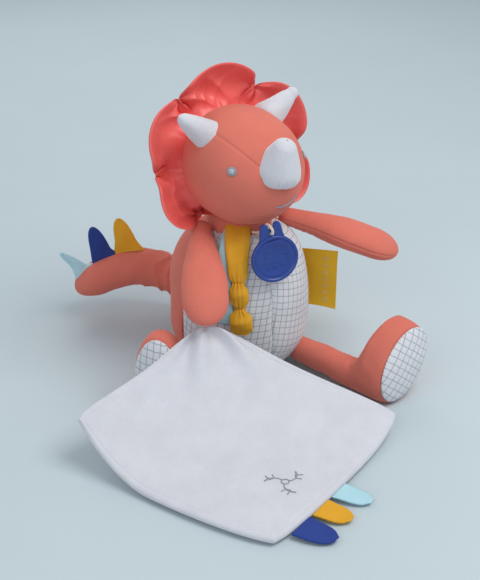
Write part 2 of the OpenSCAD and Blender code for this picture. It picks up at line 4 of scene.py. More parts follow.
import bpy
import numpy as np
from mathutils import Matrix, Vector


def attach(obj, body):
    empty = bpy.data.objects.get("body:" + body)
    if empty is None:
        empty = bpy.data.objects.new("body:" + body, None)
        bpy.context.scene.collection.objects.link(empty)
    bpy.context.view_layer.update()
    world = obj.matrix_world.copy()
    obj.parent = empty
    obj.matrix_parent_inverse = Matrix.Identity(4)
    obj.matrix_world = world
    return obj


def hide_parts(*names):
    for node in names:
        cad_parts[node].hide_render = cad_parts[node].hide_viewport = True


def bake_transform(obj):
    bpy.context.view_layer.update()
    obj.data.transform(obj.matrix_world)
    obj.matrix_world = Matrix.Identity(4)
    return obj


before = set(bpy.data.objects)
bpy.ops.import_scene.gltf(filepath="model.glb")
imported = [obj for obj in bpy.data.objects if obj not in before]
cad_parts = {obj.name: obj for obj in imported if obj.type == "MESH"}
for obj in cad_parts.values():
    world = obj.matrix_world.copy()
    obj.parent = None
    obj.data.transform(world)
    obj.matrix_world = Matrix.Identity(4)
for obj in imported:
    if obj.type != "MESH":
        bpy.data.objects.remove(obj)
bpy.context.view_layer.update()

MM = 0.001
FULL_TURN = 360  # degrees
DEG_PER_RAD = 57.3
scene = bpy.context.scene
scene.view_settings.view_transform = "Standard"

# ---------- camera ----------
TARGET = Vector((0.009167, 0.020648, 0.042381))
BACK = Vector((-0.4145, -0.7796, 0.4695)).normalized()
cam_data = bpy.data.cameras.new("camera")
cam_data.lens = 77.586
cam_data.sensor_width = 36
cam_data.clip_start = 0.01
camera = bpy.data.objects.new("camera", cam_data)
scene.collection.objects.link(camera)
camera.location = TARGET + BACK
camera.rotation_euler = BACK.to_track_quat("Z", "Y").to_euler()
scene.camera = camera


# ---------- helpers ----------
def ease(x):
    x = np.clip(x, 0, 1)
    return x * x * (3 - 2 * x)


def mix(a, b, t):
    return a + (b - a) * t


def bump(x, c, w):
    return np.exp(-(((x - c) / w) ** 2))


def ends(s, a, b):
    low = np.sqrt(np.clip(1 - (np.clip(a - s, 0, None) / a) ** 2, 0, None))
    high = np.sqrt(np.clip(1 - (np.clip(s - b, 0, None) / max(1 - b, 1e-9)) ** 2, 0, None))
    return np.where(s < a, low, np.where(s > b, high, 1.0))


def rad(a):
    return np.radians(a)


def stack(x, y, z):
    x, y, z = np.broadcast_arrays(x, y, z)
    return np.stack([x, y, z], -1)


def rot(ax, deg):
    a = math.radians(deg)
    c, s = math.cos(a), math.sin(a)
    return np.array({"x": [[1, 0, 0], [0, c, -s], [0, s, c]],
                     "y": [[c, 0, s], [0, 1, 0], [-s, 0, c]],
                     "z": [[c, -s, 0], [s, c, 0], [0, 0, 1]]}[ax])


def unit(v):
    return v / np.maximum(np.linalg.norm(v, axis=-1, keepdims=True), 1e-12)


def ripple(p, scale, seed=0.0):
    """Smooth pseudo-random field from a few sines; p in millimetres."""
    q = p / scale
    x, y, z = q[..., 0] + seed, q[..., 1] - 2.3 * seed, q[..., 2] + 0.7 * seed
    return (np.sin(1.7 * x + 1.3 * np.sin(1.1 * y + z)) + np.sin(2.1 * y + 1.7 * np.sin(0.9 * z - x))
            + np.sin(1.9 * z + 1.1 * np.sin(1.3 * x + y))) / 3


def around(rows, n):
    """Grids of a row value and of an angle in degrees that goes once round in n steps."""
    return np.meshgrid(rows, np.linspace(0, FULL_TURN, n, endpoint=False), indexing="ij")


def square(nu, nv, v0=0.0, v1=1.0):
    """Grids of two values, the first from 0 to 1 and the second from v0 to v1."""
    return np.meshgrid(np.linspace(0, 1, nu), np.linspace(v0, v1, nv), indexing="ij")


def seam_gap(A, *places):
    """Degrees from each angle in A to the nearest seam."""
    gaps = [np.abs((A - a0 + 180) % FULL_TURN - 180) for a0 in places]
    return gaps[0] if len(gaps) == 1 else np.minimum(*gaps)


def grid_normals(P, wrap_j=False):
    du = np.gradient(P, axis=0)
    if wrap_j:
        dv = np.roll(P, -1, 1) - np.roll(P, 1, 1)
    else:
        dv = np.gradient(P, axis=1)
    n = np.cross(du, dv)
    bad = np.linalg.norm(n, axis=-1) < 1e-9
    n = unit(n)
    if bad.any():
        n[0][bad[0]] = n[1][bad[0]]
        n[-1][bad[-1]] = n[-2][bad[-1]]
    return n


def volume(V, F):
    total = 0.0
    for f in F:
        a = V[f[0]]
        for k in range(1, len(f) - 1):
            total += a @ np.cross(V[f[k]], V[f[k + 1]])
    return total


def mesh(name, V, F, mat, uv=None, body=None, slot=None, nodes=()):
    """A piece from millimetre points and faces."""
    V = np.asarray(V, float)
    faces = [tuple(int(i) for i in f) for f in F]
    if volume(V, faces) < 0:
        faces = [f[::-1] for f in faces]
    me = bpy.data.meshes.new(name)
    me.from_pydata((V * MM).tolist(), [], faces)
    if uv is not None:
        layer = me.uv_layers.new(name="cloth")
        loops = np.zeros(len(me.loops), np.int32)
        me.loops.foreach_get("vertex_index", loops)
        layer.data.foreach_set("uv", (np.asarray(uv, float)[loops] * MM).ravel())
    me.materials.append(mat)
    me.validate()
    for p in me.polygons:
        p.use_smooth = True
    o = bpy.data.objects.new(name, me)
    scene.collection.objects.link(o)
    if nodes:
        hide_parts(*nodes)
    if body:
        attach(o, body)
    return o


def two_sided(P, Q):
    """Vertices and faces of a closed form between two grids of the same size."""
    m = P.shape[0] * P.shape[1]
    idx = np.arange(m).reshape(P.shape[:2])
    a, b, c, d = idx[:-1, :-1], idx[1:, :-1], idx[1:, 1:], idx[:-1, 1:]
    F = np.stack([a, b, c, d], -1).reshape(-1, 4).tolist()
    F += np.stack([a + m, d + m, c + m, b + m], -1).reshape(-1, 4).tolist()
    rim = np.concatenate([idx[:, 0], idx[-1, 1:], idx[-2::-1, -1], idx[0, -2:0:-1]])
    nxt = np.roll(rim, -1)
    F += np.stack([nxt, rim, rim + m, nxt + m], -1).tolist()
    return np.concatenate([P.reshape(-1, 3), Q.reshape(-1, 3)]), F


def shell(name, P, thick, mat, uv=None, disp=None, **kw):
    """A closed sheet: outer grid P, inner grid thick behind it."""
    N = grid_normals(P)
    centre = P.reshape(-1, 3).mean(0)
    if disp is not None:
        P = P + N * disp[..., None]
        N = grid_normals(P)
    sign = 1.0
    if kw.pop("outward", True):
        sign = 1.0 if ((P - centre) * N).sum() > 0 else -1.0
    Q = P - N * thick * sign
    V, F = two_sided(P, Q)
    uvs = None if uv is None else np.concatenate([uv.reshape(-1, 2)] * 2)
    return mesh(name, V, F, mat, uv=uvs, **kw)


def rings(name, P, mat, uv=None, disp=None, **kw):
    """A closed body: rings P[i, j] with j going round, and a point at each end."""
    N = grid_normals(P, wrap_j=True)
    centre = P.mean(1, keepdims=True)
    flip = 1.0 if ((P - centre) * N).sum() > 0 else -1.0
    N = N * flip
    if disp is not None:
        P = P + N * disp[..., None]
    nu, nv = P.shape[0], P.shape[1]
    idx = np.arange(nu * nv).reshape(nu, nv)
    a, b = idx[:-1], idx[1:]
    F = np.stack([a, b, np.roll(b, -1, 1), np.roll(a, -1, 1)], -1).reshape(-1, 4).tolist()
    V = np.concatenate([P.reshape(-1, 3), [P[0].mean(0)], [P[-1].mean(0)]])
    p0, p1 = nu * nv, nu * nv + 1
    F += [[p0, int(idx[0, (j + 1) % nv]), int(idx[0, j])] for j in range(nv)]
    F += [[p1, int(idx[-1, j]), int(idx[-1, (j + 1) % nv])] for j in range(nv)]
    if uv is not None:
        uv = np.concatenate([uv.reshape(-1, 2), [uv[0].mean(0)], [uv[-1].mean(0)]])
    return mesh(name, V, F, mat, uv=uv, **kw)


def tube(points, r, sides=8, cap=0.5):
    """Vertices and faces of a round-ended tube along points."""
    P = np.asarray(points, float)
    d = unit(np.gradient(P, axis=0))
    ref = np.array([0.31, 0.27, 0.91])
    n1 = unit(np.cross(d, ref))
    n2 = np.cross(d, n1)
    a = np.linspace(0, 2 * np.pi, sides, endpoint=False)
    rr = np.broadcast_to(r, len(P)).astype(float).copy()
    C, R = [P[0] - d[0] * rr[0] * cap], [rr[0] * 0.55]
    C += list(P)
    R += list(rr)
    C += [P[-1] + d[-1] * rr[-1] * cap]
    R += [rr[-1] * 0.55]
    n1 = np.concatenate([n1[:1], n1, n1[-1:]])
    n2 = np.concatenate([n2[:1], n2, n2[-1:]])
    C, R = np.array(C), np.array(R)
    circle = n1[:, None] * np.cos(a)[None, :, None] + n2[:, None] * np.sin(a)[None, :, None]
    G = C[:, None] + R[:, None, None] * circle
    nu = len(C)
    idx = np.arange(nu * sides).reshape(nu, sides)
    a, b = idx[:-1], idx[1:]
    F = np.stack([a, b, np.roll(b, -1, 1), np.roll(a, -1, 1)], -1).reshape(-1, 4).tolist()
    V = G.reshape(-1, 3)
    F += [idx[0, ::-1].tolist(), idx[-1].tolist()]
    if volume(V, F) < 0:
        F = [f[::-1] for f in F]
    return V, F


def bundle(name, parts, mat, **kw):
    """Several closed tubes as one piece."""
    V, F, k = [], [], 0
    for v, f in parts:
        V.append(v)
        F += [[i + k for i in q] for q in f]
        k += len(v)
    return mesh(name, np.concatenate(V), F, mat, **kw)


def stitches(path, step, long, r, sides=6):
    """Short thread stitches laid along a path of points."""
    P = np.asarray(path, float)
    seg = np.linalg.norm(np.diff(P, axis=0), axis=1)
    s = np.concatenate([[0], np.cumsum(seg)])
    at = lambda x: np.array([np.interp(x, s, P[:, k]) for k in range(3)]).T
    out = []
    n = max(1, int(s[-1] / step))
    for i in range(n):
        x0 = s[-1] * (i + 0.5) / n - long / 2
        xs = np.clip(np.linspace(x0, x0 + long, 5), 0, s[-1])
        pts = at(xs)
        if np.linalg.norm(pts[-1] - pts[0]) > long * 0.4:
            out.append(tube(pts, r * np.array([0.7, 1, 1.05, 1, 0.7]), sides))
    return out


# ---------- materials ----------
def node_mat(name, rgb, rough=0.85, sheen=0.0, sheen_tint=None, coat=0.0, spec=0.5):
    m = bpy.data.materials.new(name)
    m.use_nodes = True
    nt = m.node_tree
    b = nt.nodes["Principled BSDF"]
    b.inputs["Base Color"].default_value = (*rgb, 1)
    b.inputs["Roughness"].default_value = rough
    b.inputs["Specular IOR Level"].default_value = spec
    if sheen:
        b.inputs["Sheen Weight"].default_value = sheen
        b.inputs["Sheen Roughness"].default_value = 0.45
        b.inputs["Sheen Tint"].default_value = (*(sheen_tint or rgb), 1)
    if coat:
        b.inputs["Coat Weight"].default_value = coat
        b.inputs["Coat Roughness"].default_value = 0.15
    coord = nt.nodes.new("ShaderNodeTexCoord")
    return m, nt, b, coord


def noise_node(nt, coord, scale, detail=3.0, rough=0.55, out="Object"):
    n = nt.nodes.new("ShaderNodeTexNoise")
    n.inputs["Scale"].default_value = scale
    n.inputs["Detail"].default_value = detail
    n.inputs["Roughness"].default_value = rough
    nt.links.new(coord.outputs[out], n.inputs["Vector"])
    return n


def ramp(nt, src, stops):
    r = nt.nodes.new("ShaderNodeValToRGB")
    el = r.color_ramp.elements
    while len(el) < len(stops):
        el.new(0.5)
    for e, (p, c) in zip(el, stops):
        e.position = p
        e.color = (*c, 1)
    nt.links.new(src, r.inputs["Fac"])
    return r.outputs["Color"]


def math_node(nt, op, a, b=None, clamp=False):
    n = nt.nodes.new("ShaderNodeMath")
    n.operation = op
    n.use_clamp = clamp
    for i, x in enumerate((a, b)):
        if x is None:
            continue
        if isinstance(x, (int, float)):
            n.inputs[i].default_value = x
        else:
            nt.links.new(x, n.inputs[i])
    return n.outputs[0]


def mix_rgb(nt, fac, a, b, mode="MIX"):
    n = nt.nodes.new("ShaderNodeMix")
    n.data_type = "RGBA"
    n.blend_type = mode
    if isinstance(fac, (int, float)):
        n.inputs[0].default_value = fac
    else:
        nt.links.new(fac, n.inputs[0])
    for i, x in ((6, a), (7, b)):
        if isinstance(x, tuple):
            n.inputs[i].default_value = (*x, 1)
        else:
            nt.links.new(x, n.inputs[i])
    return n.outputs[2]


def add_bump(nt, bsdf, height, strength, dist=0.0005):
    n = nt.nodes.new("ShaderNodeBump")
    n.inputs["Strength"].default_value = strength
    n.inputs["Distance"].default_value = dist
    nt.links.new(height, n.inputs["Height"])
    nt.links.new(n.outputs["Normal"], bsdf.inputs["Normal"])


def knit(nt, coord, pitch, out="Object"):
    """Height of a fine knitted or woven cloth with this thread pitch in metres."""
    sep = nt.nodes.new("ShaderNodeSeparateXYZ")
    nt.links.new(coord.outputs[out], sep.inputs[0])
    k = 2 * math.pi / pitch
    terms = [math_node(nt, "SINE", math_node(nt, "MULTIPLY", sep.outputs[i], k)) for i in range(3)]
    return math_node(nt, "ADD", math_node(nt, "MULTIPLY", terms[0], terms[1]), terms[2])


def shade(c, k):
    return tuple(min(1.0, x * k) for x in c)


def cotton(name, rgb, pitch=0.0007, rough=0.9, sheen=0.35, strength=0.22, vary=0.08, tint=None):
    m, nt, b, coord = node_mat(name, rgb, rough, sheen, tint or shade(rgb, 1.5))
    big = noise_node(nt, coord, 28, 3)
    fine = noise_node(nt, coord, 1100, 2)
    base = ramp(nt, big.outputs[0], [(0.3, shade(rgb, 1 - vary)), (0.7, shade(rgb, 1 + vary))])
    fleck = ramp(nt, fine.outputs[0], [(0.35, (0.965, 0.965, 0.965)), (0.65, (1.02, 1.02, 1.02))])
    nt.links.new(mix_rgb(nt, 1.0, base, fleck, "MULTIPLY"), b.inputs["Base Color"])
    height = math_node(nt, "ADD", math_node(nt, "MULTIPLY", knit(nt, coord, pitch), 0.25), fine.outputs[0])
    add_bump(nt, b, height, strength, 0.00025)
    return m


def plush_mat(name, rgb):
    m, nt, b, coord = node_mat(name, rgb, 0.95, 0.6, (1, 1, 1))
    soft = noise_node(nt, coord, 60, 4)
    tuft = noise_node(nt, coord, 620, 4, 0.7)
    hair = noise_node(nt, coord, 2200, 2, 0.6)
    base = ramp(nt, soft.outputs[0], [(0.3, shade(rgb, 0.95)), (0.7, shade(rgb, 1.03))])
    pile = ramp(nt, tuft.outputs[0], [(0.3, (0.965, 0.965, 0.97)), (0.6, (1.01, 1.01, 1.01))])
    nt.links.new(mix_rgb(nt, 1.0, base, pile, "MULTIPLY"), b.inputs["Base Color"])
    height = math_node(nt, "ADD", tuft.outputs[0], math_node(nt, "MULTIPLY", hair.outputs[0], 0.5))
    add_bump(nt, b, height, 0.35, 0.0006)
    return m


def satin_mat(name, dark, light, rough=0.38):
    m, nt, b, coord = node_mat(name, light, rough, 0.35, shade(light, 1.3), spec=0.45)
    big = noise_node(nt, coord, 22, 3)
    fine = noise_node(nt, coord, 1600, 2)
    base = ramp(nt, big.outputs[0], [(0.3, dark), (0.7, light)])
    nt.links.new(base, b.inputs["Base Color"])
    height = math_node(nt, "ADD", math_node(nt, "MULTIPLY", knit(nt, coord, 0.0004), 0.15), fine.outputs[0])
    add_bump(nt, b, height, 0.15, 0.0002)
    return m


CHECK = 5.3 * MM


def check_mat(name, ground, line):
    m, nt, b, coord = node_mat(name, ground, 0.92, 0.25, (1, 1, 1))
    uv = nt.nodes.new("ShaderNodeUVMap")
    uv.uv_map = "cloth"
    warp = noise_node(nt, coord, 90, 3)
    wob = nt.nodes.new("ShaderNodeVectorMath")
    wob.operation = "SCALE"
    centred = nt.nodes.new("ShaderNodeVectorMath")
    centred.operation = "SUBTRACT"
    nt.links.new(warp.outputs["Color"], centred.inputs[0])
    centred.inputs[1].default_value = (0.5, 0.5, 0.5)
    nt.links.new(centred.outputs[0], wob.inputs[0])
    wob.inputs["Scale"].default_value = 0.0012
    add = nt.nodes.new("ShaderNodeVectorMath")
    nt.links.new(uv.outputs[0], add.inputs[0])
    nt.links.new(wob.outputs[0], add.inputs[1])
    sep = nt.nodes.new("ShaderNodeSeparateXYZ")
    nt.links.new(add.outputs[0], sep.inputs[0])
    masks = []
    for i, (off, wide) in enumerate(((0.0, 0.045), (0.31, 0.04))):
        scaled = math_node(nt, "ADD", math_node(nt, "DIVIDE", sep.outputs[i], CHECK), off + 40)
        f = math_node(nt, "FRACT", scaled)
        d = math_node(nt, "ABSOLUTE", math_node(nt, "SUBTRACT", f, 0.5))
        outside = math_node(nt, "MULTIPLY", math_node(nt, "SUBTRACT", d, wide), 22.0)
        masks.append(math_node(nt, "SUBTRACT", 1.0, outside, clamp=True))
    fade = noise_node(nt, coord, 420, 2)
    both = math_node(nt, "MAXIMUM", masks[0], masks[1])
    cross = math_node(nt, "MULTIPLY", masks[0], masks[1])
    keep = math_node(nt, "ADD", math_node(nt, "MULTIPLY", fade.outputs[0], 0.7), 0.42)
    fac = math_node(nt, "MULTIPLY", both, keep, clamp=True)
    fac = math_node(nt, "ADD", fac, math_node(nt, "MULTIPLY", cross, 0.3), clamp=True)
    big = noise_node(nt, coord, 35, 3)
    base = ramp(nt, big.outputs[0], [(0.3, shade(ground, 0.94)), (0.7, shade(ground, 1.03))])
    nt.links.new(mix_rgb(nt, fac, base, line), b.inputs["Base Color"])
    fine = noise_node(nt, coord, 1300, 2)
    puff = math_node(nt, "SUBTRACT", fine.outputs[0], math_node(nt, "MULTIPLY", both, 1.2))
    height = math_node(nt, "ADD", puff, math_node(nt, "MULTIPLY", knit(nt, coord, 0.0008), 0.3))
    add_bump(nt, b, height, 0.5, 0.0003)
    return m


def plastic_mat(name, rgb):
    m, nt, b, coord = node_mat(name, rgb, 0.34, coat=0.25)
    big = noise_node(nt, coord, 120, 3)
    base = ramp(nt, big.outputs[0], [(0.3, shade(rgb, 0.9)), (0.7, shade(rgb, 1.1))])
    nt.links.new(base, b.inputs["Base Color"])
    rough = ramp(nt, noise_node(nt, coord, 260, 4).outputs[0], [(0.3, (0.28,) * 3), (0.7, (0.44,) * 3)])
    nt.links.new(rough, b.inputs["Roughness"])
    add_bump(nt, b, noise_node(nt, coord, 900, 2).outputs[0], 0.08, 0.0001)
    return m


CORAL = (0.66, 0.165, 0.118)
WHITE = (0.62, 0.63, 0.68)
coral = cotton("coral_jersey", CORAL, vary=0.05, tint=(1.0, 0.45, 0.36))
satin = satin_mat("frill_satin", (0.76, 0.085, 0.075), (0.86, 0.165, 0.15), 0.32)
white = plush_mat("white_plush", WHITE)
check = check_mat("window_check", (0.72, 0.73, 0.765), (0.30, 0.34, 0.42))
mustard = cotton("mustard_cotton", (0.74, 0.37, 0.018), strength=0.4)
label_mat = cotton("label_weave", (1.0, 0.60, 0.03), strength=0.4)
blue_cloth = cotton("blue_cotton", (0.014, 0.042, 0.24), sheen=0.35, tint=(0.15, 0.25, 0.7))
mint = satin_mat("mint_satin", (0.36, 0.62, 0.70), (0.45, 0.72, 0.80), 0.45)
thread = cotton("grey_thread", (0.30, 0.32, 0.37), pitch=0.0003, rough=0.5, sheen=0.3, strength=0.2)
# paler grey thread used only for the eyes' painted glint: it stands in for the shine on the stitched eyes
glint_thread = cotton("glint_painted_thread", (0.50, 0.52, 0.58), pitch=0.0003, rough=0.5, sheen=0.3, strength=0.2)
cord_mat = cotton("cream_cord", (0.78, 0.66, 0.56), pitch=0.0005, strength=0.6)
pale_weave = cotton("pale_weave", (0.92, 0.74, 0.40), pitch=0.0004, strength=0.4)
plastic = plastic_mat("blue_plastic", (0.010, 0.045, 0.27))


# ---------- torso ----------
TORSO_R, SEAT_R, BELLY_Z, TORSO_H, FRONT_HALF, CLOTH = 54.0, 36.0, 35.0, 119.5, 82.0, 1.2
TORSO_AT = np.array([-2.5, 0.0, 0.0])


def torso_rad(z):
    low = TORSO_R - (TORSO_R - SEAT_R) * np.clip(1 - z / BELLY_Z, 0, None) ** 2.2
    above = np.clip(z - BELLY_Z, 0, None) / (TORSO_H - BELLY_Z)
    high = TORSO_R * np.sqrt(np.clip(1 - above ** 4, 0, None))
    return np.where(z < BELLY_Z, low, high)


def torso_curve(w):
    """Radius and height along the side, w from the seat's edge (0) to the neck opening (1)."""
    k = np.linspace(0, 0.955, 400)
    z = TORSO_H * (1 - (1 - k) ** 1.5)
    r = torso_rad(z)
    s = np.concatenate([[0], np.cumsum(np.hypot(np.diff(r), np.diff(z)))])
    x = w * s[-1]
    return np.interp(x, s, r), np.interp(x, s, z), x


TORSO_CORAL = {"body": "torso", "slot": "coral_cotton"}


def seam_dip(d, deep=0.9, wide=1.2):
    return -deep * np.exp(-((d / wide) ** 2))


def torso_panel(name, a0, a1, node):
    U, W = square(90, 120)
    r, z, arc = torso_curve(W)
    A = rad(mix(a0, a1, U))
    P = TORSO_AT + stack(r * np.cos(A), r * np.sin(A), z)
    edge = np.minimum(np.abs(U), np.abs(1 - U)) * rad(abs(a1 - a0)) * r
    disp = seam_dip(edge, 1.3, 1.5) + 0.25 * np.sin(arc / 0.62) * np.exp(-((edge / 2.6) ** 2))
    disp += 0.6 * ripple(P, 15) * (1 - np.exp(-((edge / 5) ** 2)))
    disp += 0.5 * bump(W, 0.93, 0.06) * np.sin(A * 26) - 0.2
    half = (U - 0.5) * rad(a1 - a0) * r
    tilt = math.radians(9 if a0 < -90.05 else -7)
    lean = arc - 0.0026 * half ** 2
    uv = np.stack([half * math.cos(tilt) - lean * math.sin(tilt),
                   half * math.sin(tilt) + lean * math.cos(tilt)], -1)
    return shell(name, P, CLOTH, check, uv=uv, disp=disp * ease(W * 12), body="torso", slot="check_cotton",
                 nodes=[node])


front_left = torso_panel("torso_check_left", -90.1, -90 + FRONT_HALF, "torso_front_left")
front_right = torso_panel("torso_check_right", -90 - FRONT_HALF, -89.9, "torso_front_right")


def coral_disc(name, radius, rows, n, low, high, rise=0.0):
    """A thin round closure of the torso between two heights, its edge raised by rise."""
    rr = np.linspace(1e-3, 1, rows)[:, None] * radius
    aa = np.linspace(0, 2 * np.pi, n, endpoint=False)[None]
    under, over = (stack(rr * np.cos(aa), rr * np.sin(aa), np.zeros_like(rr) + z + rise * (rr / SEAT_R) ** 8)
                   for z in (low, high))
    rings(name, TORSO_AT + np.concatenate([under, over[::-1]]), coral, **TORSO_CORAL)


def torso_back():
    U, W = square(200, 120)
    r, z, arc = torso_curve(W)
    a0, a1 = -90 + FRONT_HALF - 0.1, 270 - FRONT_HALF + 0.1
    A = rad(mix(a0, a1, U))
    P = TORSO_AT + stack(r * np.cos(A), r * np.sin(A), z)
    edge = np.minimum(U, 1 - U) * rad(a1 - a0) * r
    mid = np.abs(U - 0.5) * rad(a1 - a0) * r
    disp = seam_dip(edge, 1.3, 1.5) + 0.25 * np.sin(arc / 0.62) * np.exp(-((edge / 2.6) ** 2))
    disp += seam_dip(mid, 0.9, 1.2) + 0.6 * ripple(P, 16, 3)
    disp += 0.8 * np.exp(-((edge / 16) ** 2)) * np.sin(z / 5.5 + 1.5 * np.sin(z / 17)) * bump(W, 0.55, 0.3)
    o = shell("torso_coral_back", P, CLOTH, coral, disp=disp * ease(W * 12), **TORSO_CORAL,
              nodes=["torso_back", "torso_stuffing"])
    coral_disc("torso_seat", SEAT_R + 0.3, 14, 120, 0.02, 1.3, 0.8)
    return o


back_panel = torso_back()
top_r, top_z, _ = torso_curve(np.array([1.0]))
top_z = float(top_z[0])
coral_disc("neck_cap", float(top_r[0]) + 0.2, 20, 90, top_z - 2.0, top_z - 0.8)

K, A = around(np.linspace(0, 1, 24), 96)
neck_r = mix(25, 21, ease(K)) + 0.5 * np.sin(rad(A) * 22) * (1 - K) + 0.4 * np.sin(rad(A) * 7 + 5 * K)
neck_at = TORSO_AT + np.array([-0.5, -0.5, 0])
neck_ring = stack(neck_r * np.cos(rad(A)), neck_r * np.sin(rad(A)), mix(112, 128, K))
rings("neck_jersey", neck_at + neck_ring, coral, **TORSO_CORAL)

# ---------- head ----------
SKULL_R, MUZZLE_L, FACE_K, GUSSET = 42.6, 55.4, 0.243, 43.0
HEAD_AT = np.array([-4.0, -2.0, 163.0])
IN_HEAD = rot("z", 7) @ rot("y", 2)
MUZZLE_TILT = 93
MUZZLE = IN_HEAD @ rot("x", MUZZLE_TILT)


def in_head(p):
    return p @ IN_HEAD.T + HEAD_AT


def on_muzzle(p):
    return p @ MUZZLE.T + HEAD_AT


def skull_rad(x):
    back = np.sqrt(np.clip(SKULL_R ** 2 - x * x, 0, None))
    front = SKULL_R * np.sqrt(np.clip(1 - np.clip(x / MUZZLE_L, 0, 1) ** 2.3, 0, None))
    return np.where(x < 0, back, front)


def skull_front(r):
    return MUZZLE_L * np.clip(1 - (r / SKULL_R) ** 2, 0, None) ** (1 / 2.3)


def head():
    K, A = around(np.linspace(0.004, 0.996, 190), 288)
    x = mix(-SKULL_R, MUZZLE_L, (1 - np.cos(np.pi * K)) / 2)
    r = skull_rad(x)
    P = stack(r * np.cos(rad(A)), r * np.sin(rad(A)), x)
    arc = K * 150
    disp = np.zeros_like(r)
    for a0, deep in ((90 - GUSSET, 0.7), (90 + GUSSET, 0.7), (270, 0.15)):
        d = rad(seam_gap(A, a0)) * r
        on = ease((K - FACE_K) * 40) * ease((r - 3) / 12)
        disp += on * seam_dip(d, deep, 0.8)
        disp += on * 0.10 * np.sin(arc / 0.55) * np.exp(-((d / 2.2) ** 2))
    ring = np.abs(K - FACE_K) * 140
    disp += seam_dip(ring, 0.7, 1.0)
    Q = on_muzzle(P)
    disp += 0.3 * ripple(Q, 17, 1.7)
    return rings("head", Q, coral, disp=disp, body="head", slot="coral_cotton",
                 nodes=["head_gusset", "head_side_left", "head_side_right", "head_back", "head_stuffing"])


head_piece = head()


# ---------- frill ----------
FRILL_HALF = 150.0


def lobe(a):
    b = np.abs(a)
    def swell(t, power):
        return np.clip(np.sin(rad(180 * t)), 0, None) ** power

    top = mix(60, 71, np.clip(np.cos(rad(90 * b / 34)), 0, None) ** 0.6)
    side = mix(mix(60, 62, (b - 34) / 56), 75, swell((b - 34) / 56, 0.75))
    low = mix(mix(62, 46, (b - 90) / 52), 72, 0.95 * swell((b - 90) / 52, 0.7))
    return np.where(b < 34, top, np.where(b < 90, side, low))


def pucker(a):
    b = np.abs(a)
    return bump(b, 34, 6) + bump(b, 90, 6) + bump(b, 142, 6)


def in_frill(p):
    return in_head(p @ rot("x", -16.4).T + np.array([0, 16, -3]))


def frill():
    nu, nv = 420, 34
    a = np.linspace(-FRILL_HALF, FRILL_HALF, nu)[:, None]
    side = np.concatenate([np.linspace(0, 1, nv), np.linspace(1, 0, nv)[1:-1]])[None]
    face = np.concatenate([np.ones(nv), -np.ones(nv - 2)])[None]
    v = side + 0 * a
    r0 = 37.0 - 1.0 * np.cos(rad(a))
    r = mix(r0, lobe(a), v)
    pk = pucker(a)
    front = np.broadcast_to(face > 0, r.shape)
    puff = (5.2 + 0.8 * front) * np.sin(np.pi * np.clip(v, 0, 1)) ** 0.75 * (1 - 0.75 * pk) + 0.9
    lift = 12 * v ** 2 * (1 - 0.9 * pk) - (6.5 + 3.2 * front) * np.sin(np.pi * v) + 1.5 * (1 - v) ** 2
    crease = np.zeros_like(r)
    for a0 in (-90, -34, 34, 90, -142, 142):
        rn = float(lobe(np.array([abs(a0) - 0.01]))[0])
        dx = r * np.sin(rad(a - a0))
        dy = rn - r * np.cos(rad(a - a0))
        dist = np.hypot(dx, dy)
        phi = np.arctan2(dx, dy)
        fan = np.cos(7 * phi + 0.9 * np.sin(3 * phi)) * np.exp(-dist / 12) * ease(dist / 3)
        crease += 3.0 * fan - 4.6 * np.exp(-((dx / (1.6 + 0.09 * dist)) ** 2)) * np.exp(-dist / 18)
        bend = dx + 0.25 * dist * np.sign(math.sin(a0 + 1))
        crease -= 2.8 * np.exp(-((bend / 2.2) ** 2)) * np.exp(-((dist - 9) / 8) ** 2)
    gather = 0.6 * np.cos(rad(a) * 27 + 3 * np.sin(rad(a) * 7)) * np.exp(-v / 0.14)
    wave = np.sin(rad(a) * 3.7 + 1.9 * v + 2.4 * np.sin(rad(a) * 2.1 + 2 * v))
    fold = 3.0 * (0.6 - np.abs(wave) ** 0.8) * np.sin(np.pi * v)
    wave = np.sin(rad(a) * 7.3 - 4.6 * v + 2.6 * np.sin(rad(a) * 3.3 + 1.0))
    fold += 1.5 * (0.6 - np.abs(wave) ** 0.7) * np.sin(np.pi * v) ** 2
    inside = np.sin(np.pi * np.clip(v * 0.94 + 0.03, 0, 1)) ** 0.6
    off = face * np.where(v >= 1, 0.25, puff + (crease + gather + fold) * inside)
    P = in_frill(stack(r * np.sin(rad(a)), -lift - off, r * np.cos(rad(a))))
    return rings("frill", P, satin, body="head", slot="rose_velour",
                 nodes=["frill_front", "frill_back", "frill_wadding"])


frill_piece = frill()


# ---------- horns ----------
def horn(node, r, l, power, place, knob, seed):
    base = 0.10 if r > 15 else 0.34
    t = np.linspace(0, 1, 70)
    S, A = around(mix(-base, 1, 0.35 * t + 0.65 * (1 - np.cos(np.pi * t)) / 2), 120)
    s = np.clip(S, 0, 1)
    e = np.sqrt(np.clip(1 - (np.clip(s - 0.86, 0, None) / 0.14) ** 2, 1e-4, None))
    turn_in = 0.42 if r > 15 else 0.0
    below = np.clip(turn_in - S, 0, None) / (base + turn_in + 0.004)
    e = e * np.sqrt(np.clip(1 - below ** 2, 1e-4, None))
    rr = mix(r, r * 0.28, s ** power) * e
    rr = rr * (1 + knob * bump(s, 0.93, 0.05) - knob * 0.8 * bump(s, 0.8, 0.06))
    z = l * S
    tuck = 0.3 * np.sin(rad(A) * 17 + seed) * np.exp(-((S - turn_in + 0.22) / 0.1) ** 2)
    seam = seam_dip(rad(seam_gap(A, 90)) * rr, 0.6, 1.0)
    lumps = 0.5 * np.sin(rad(A) * 3 + 5 * s + seed) + 0.25 * np.sin(rad(A) * 5 - 9 * s + 2 * seed)
    rr = rr + tuck + seam * (1 - ease((s - 0.5) / 0.3)) + lumps * (1 - s) * 0.9 - 0.7 * bump(S, 0.0, 0.05)
    rr = np.maximum(rr, 0.05)
    P = place(stack(rr * np.cos(rad(A)), rr * np.sin(rad(A)), z))
    return rings(node + "_plush", P, white, body="head", slot="white_plush", nodes=[node, node + "_stuffing"])


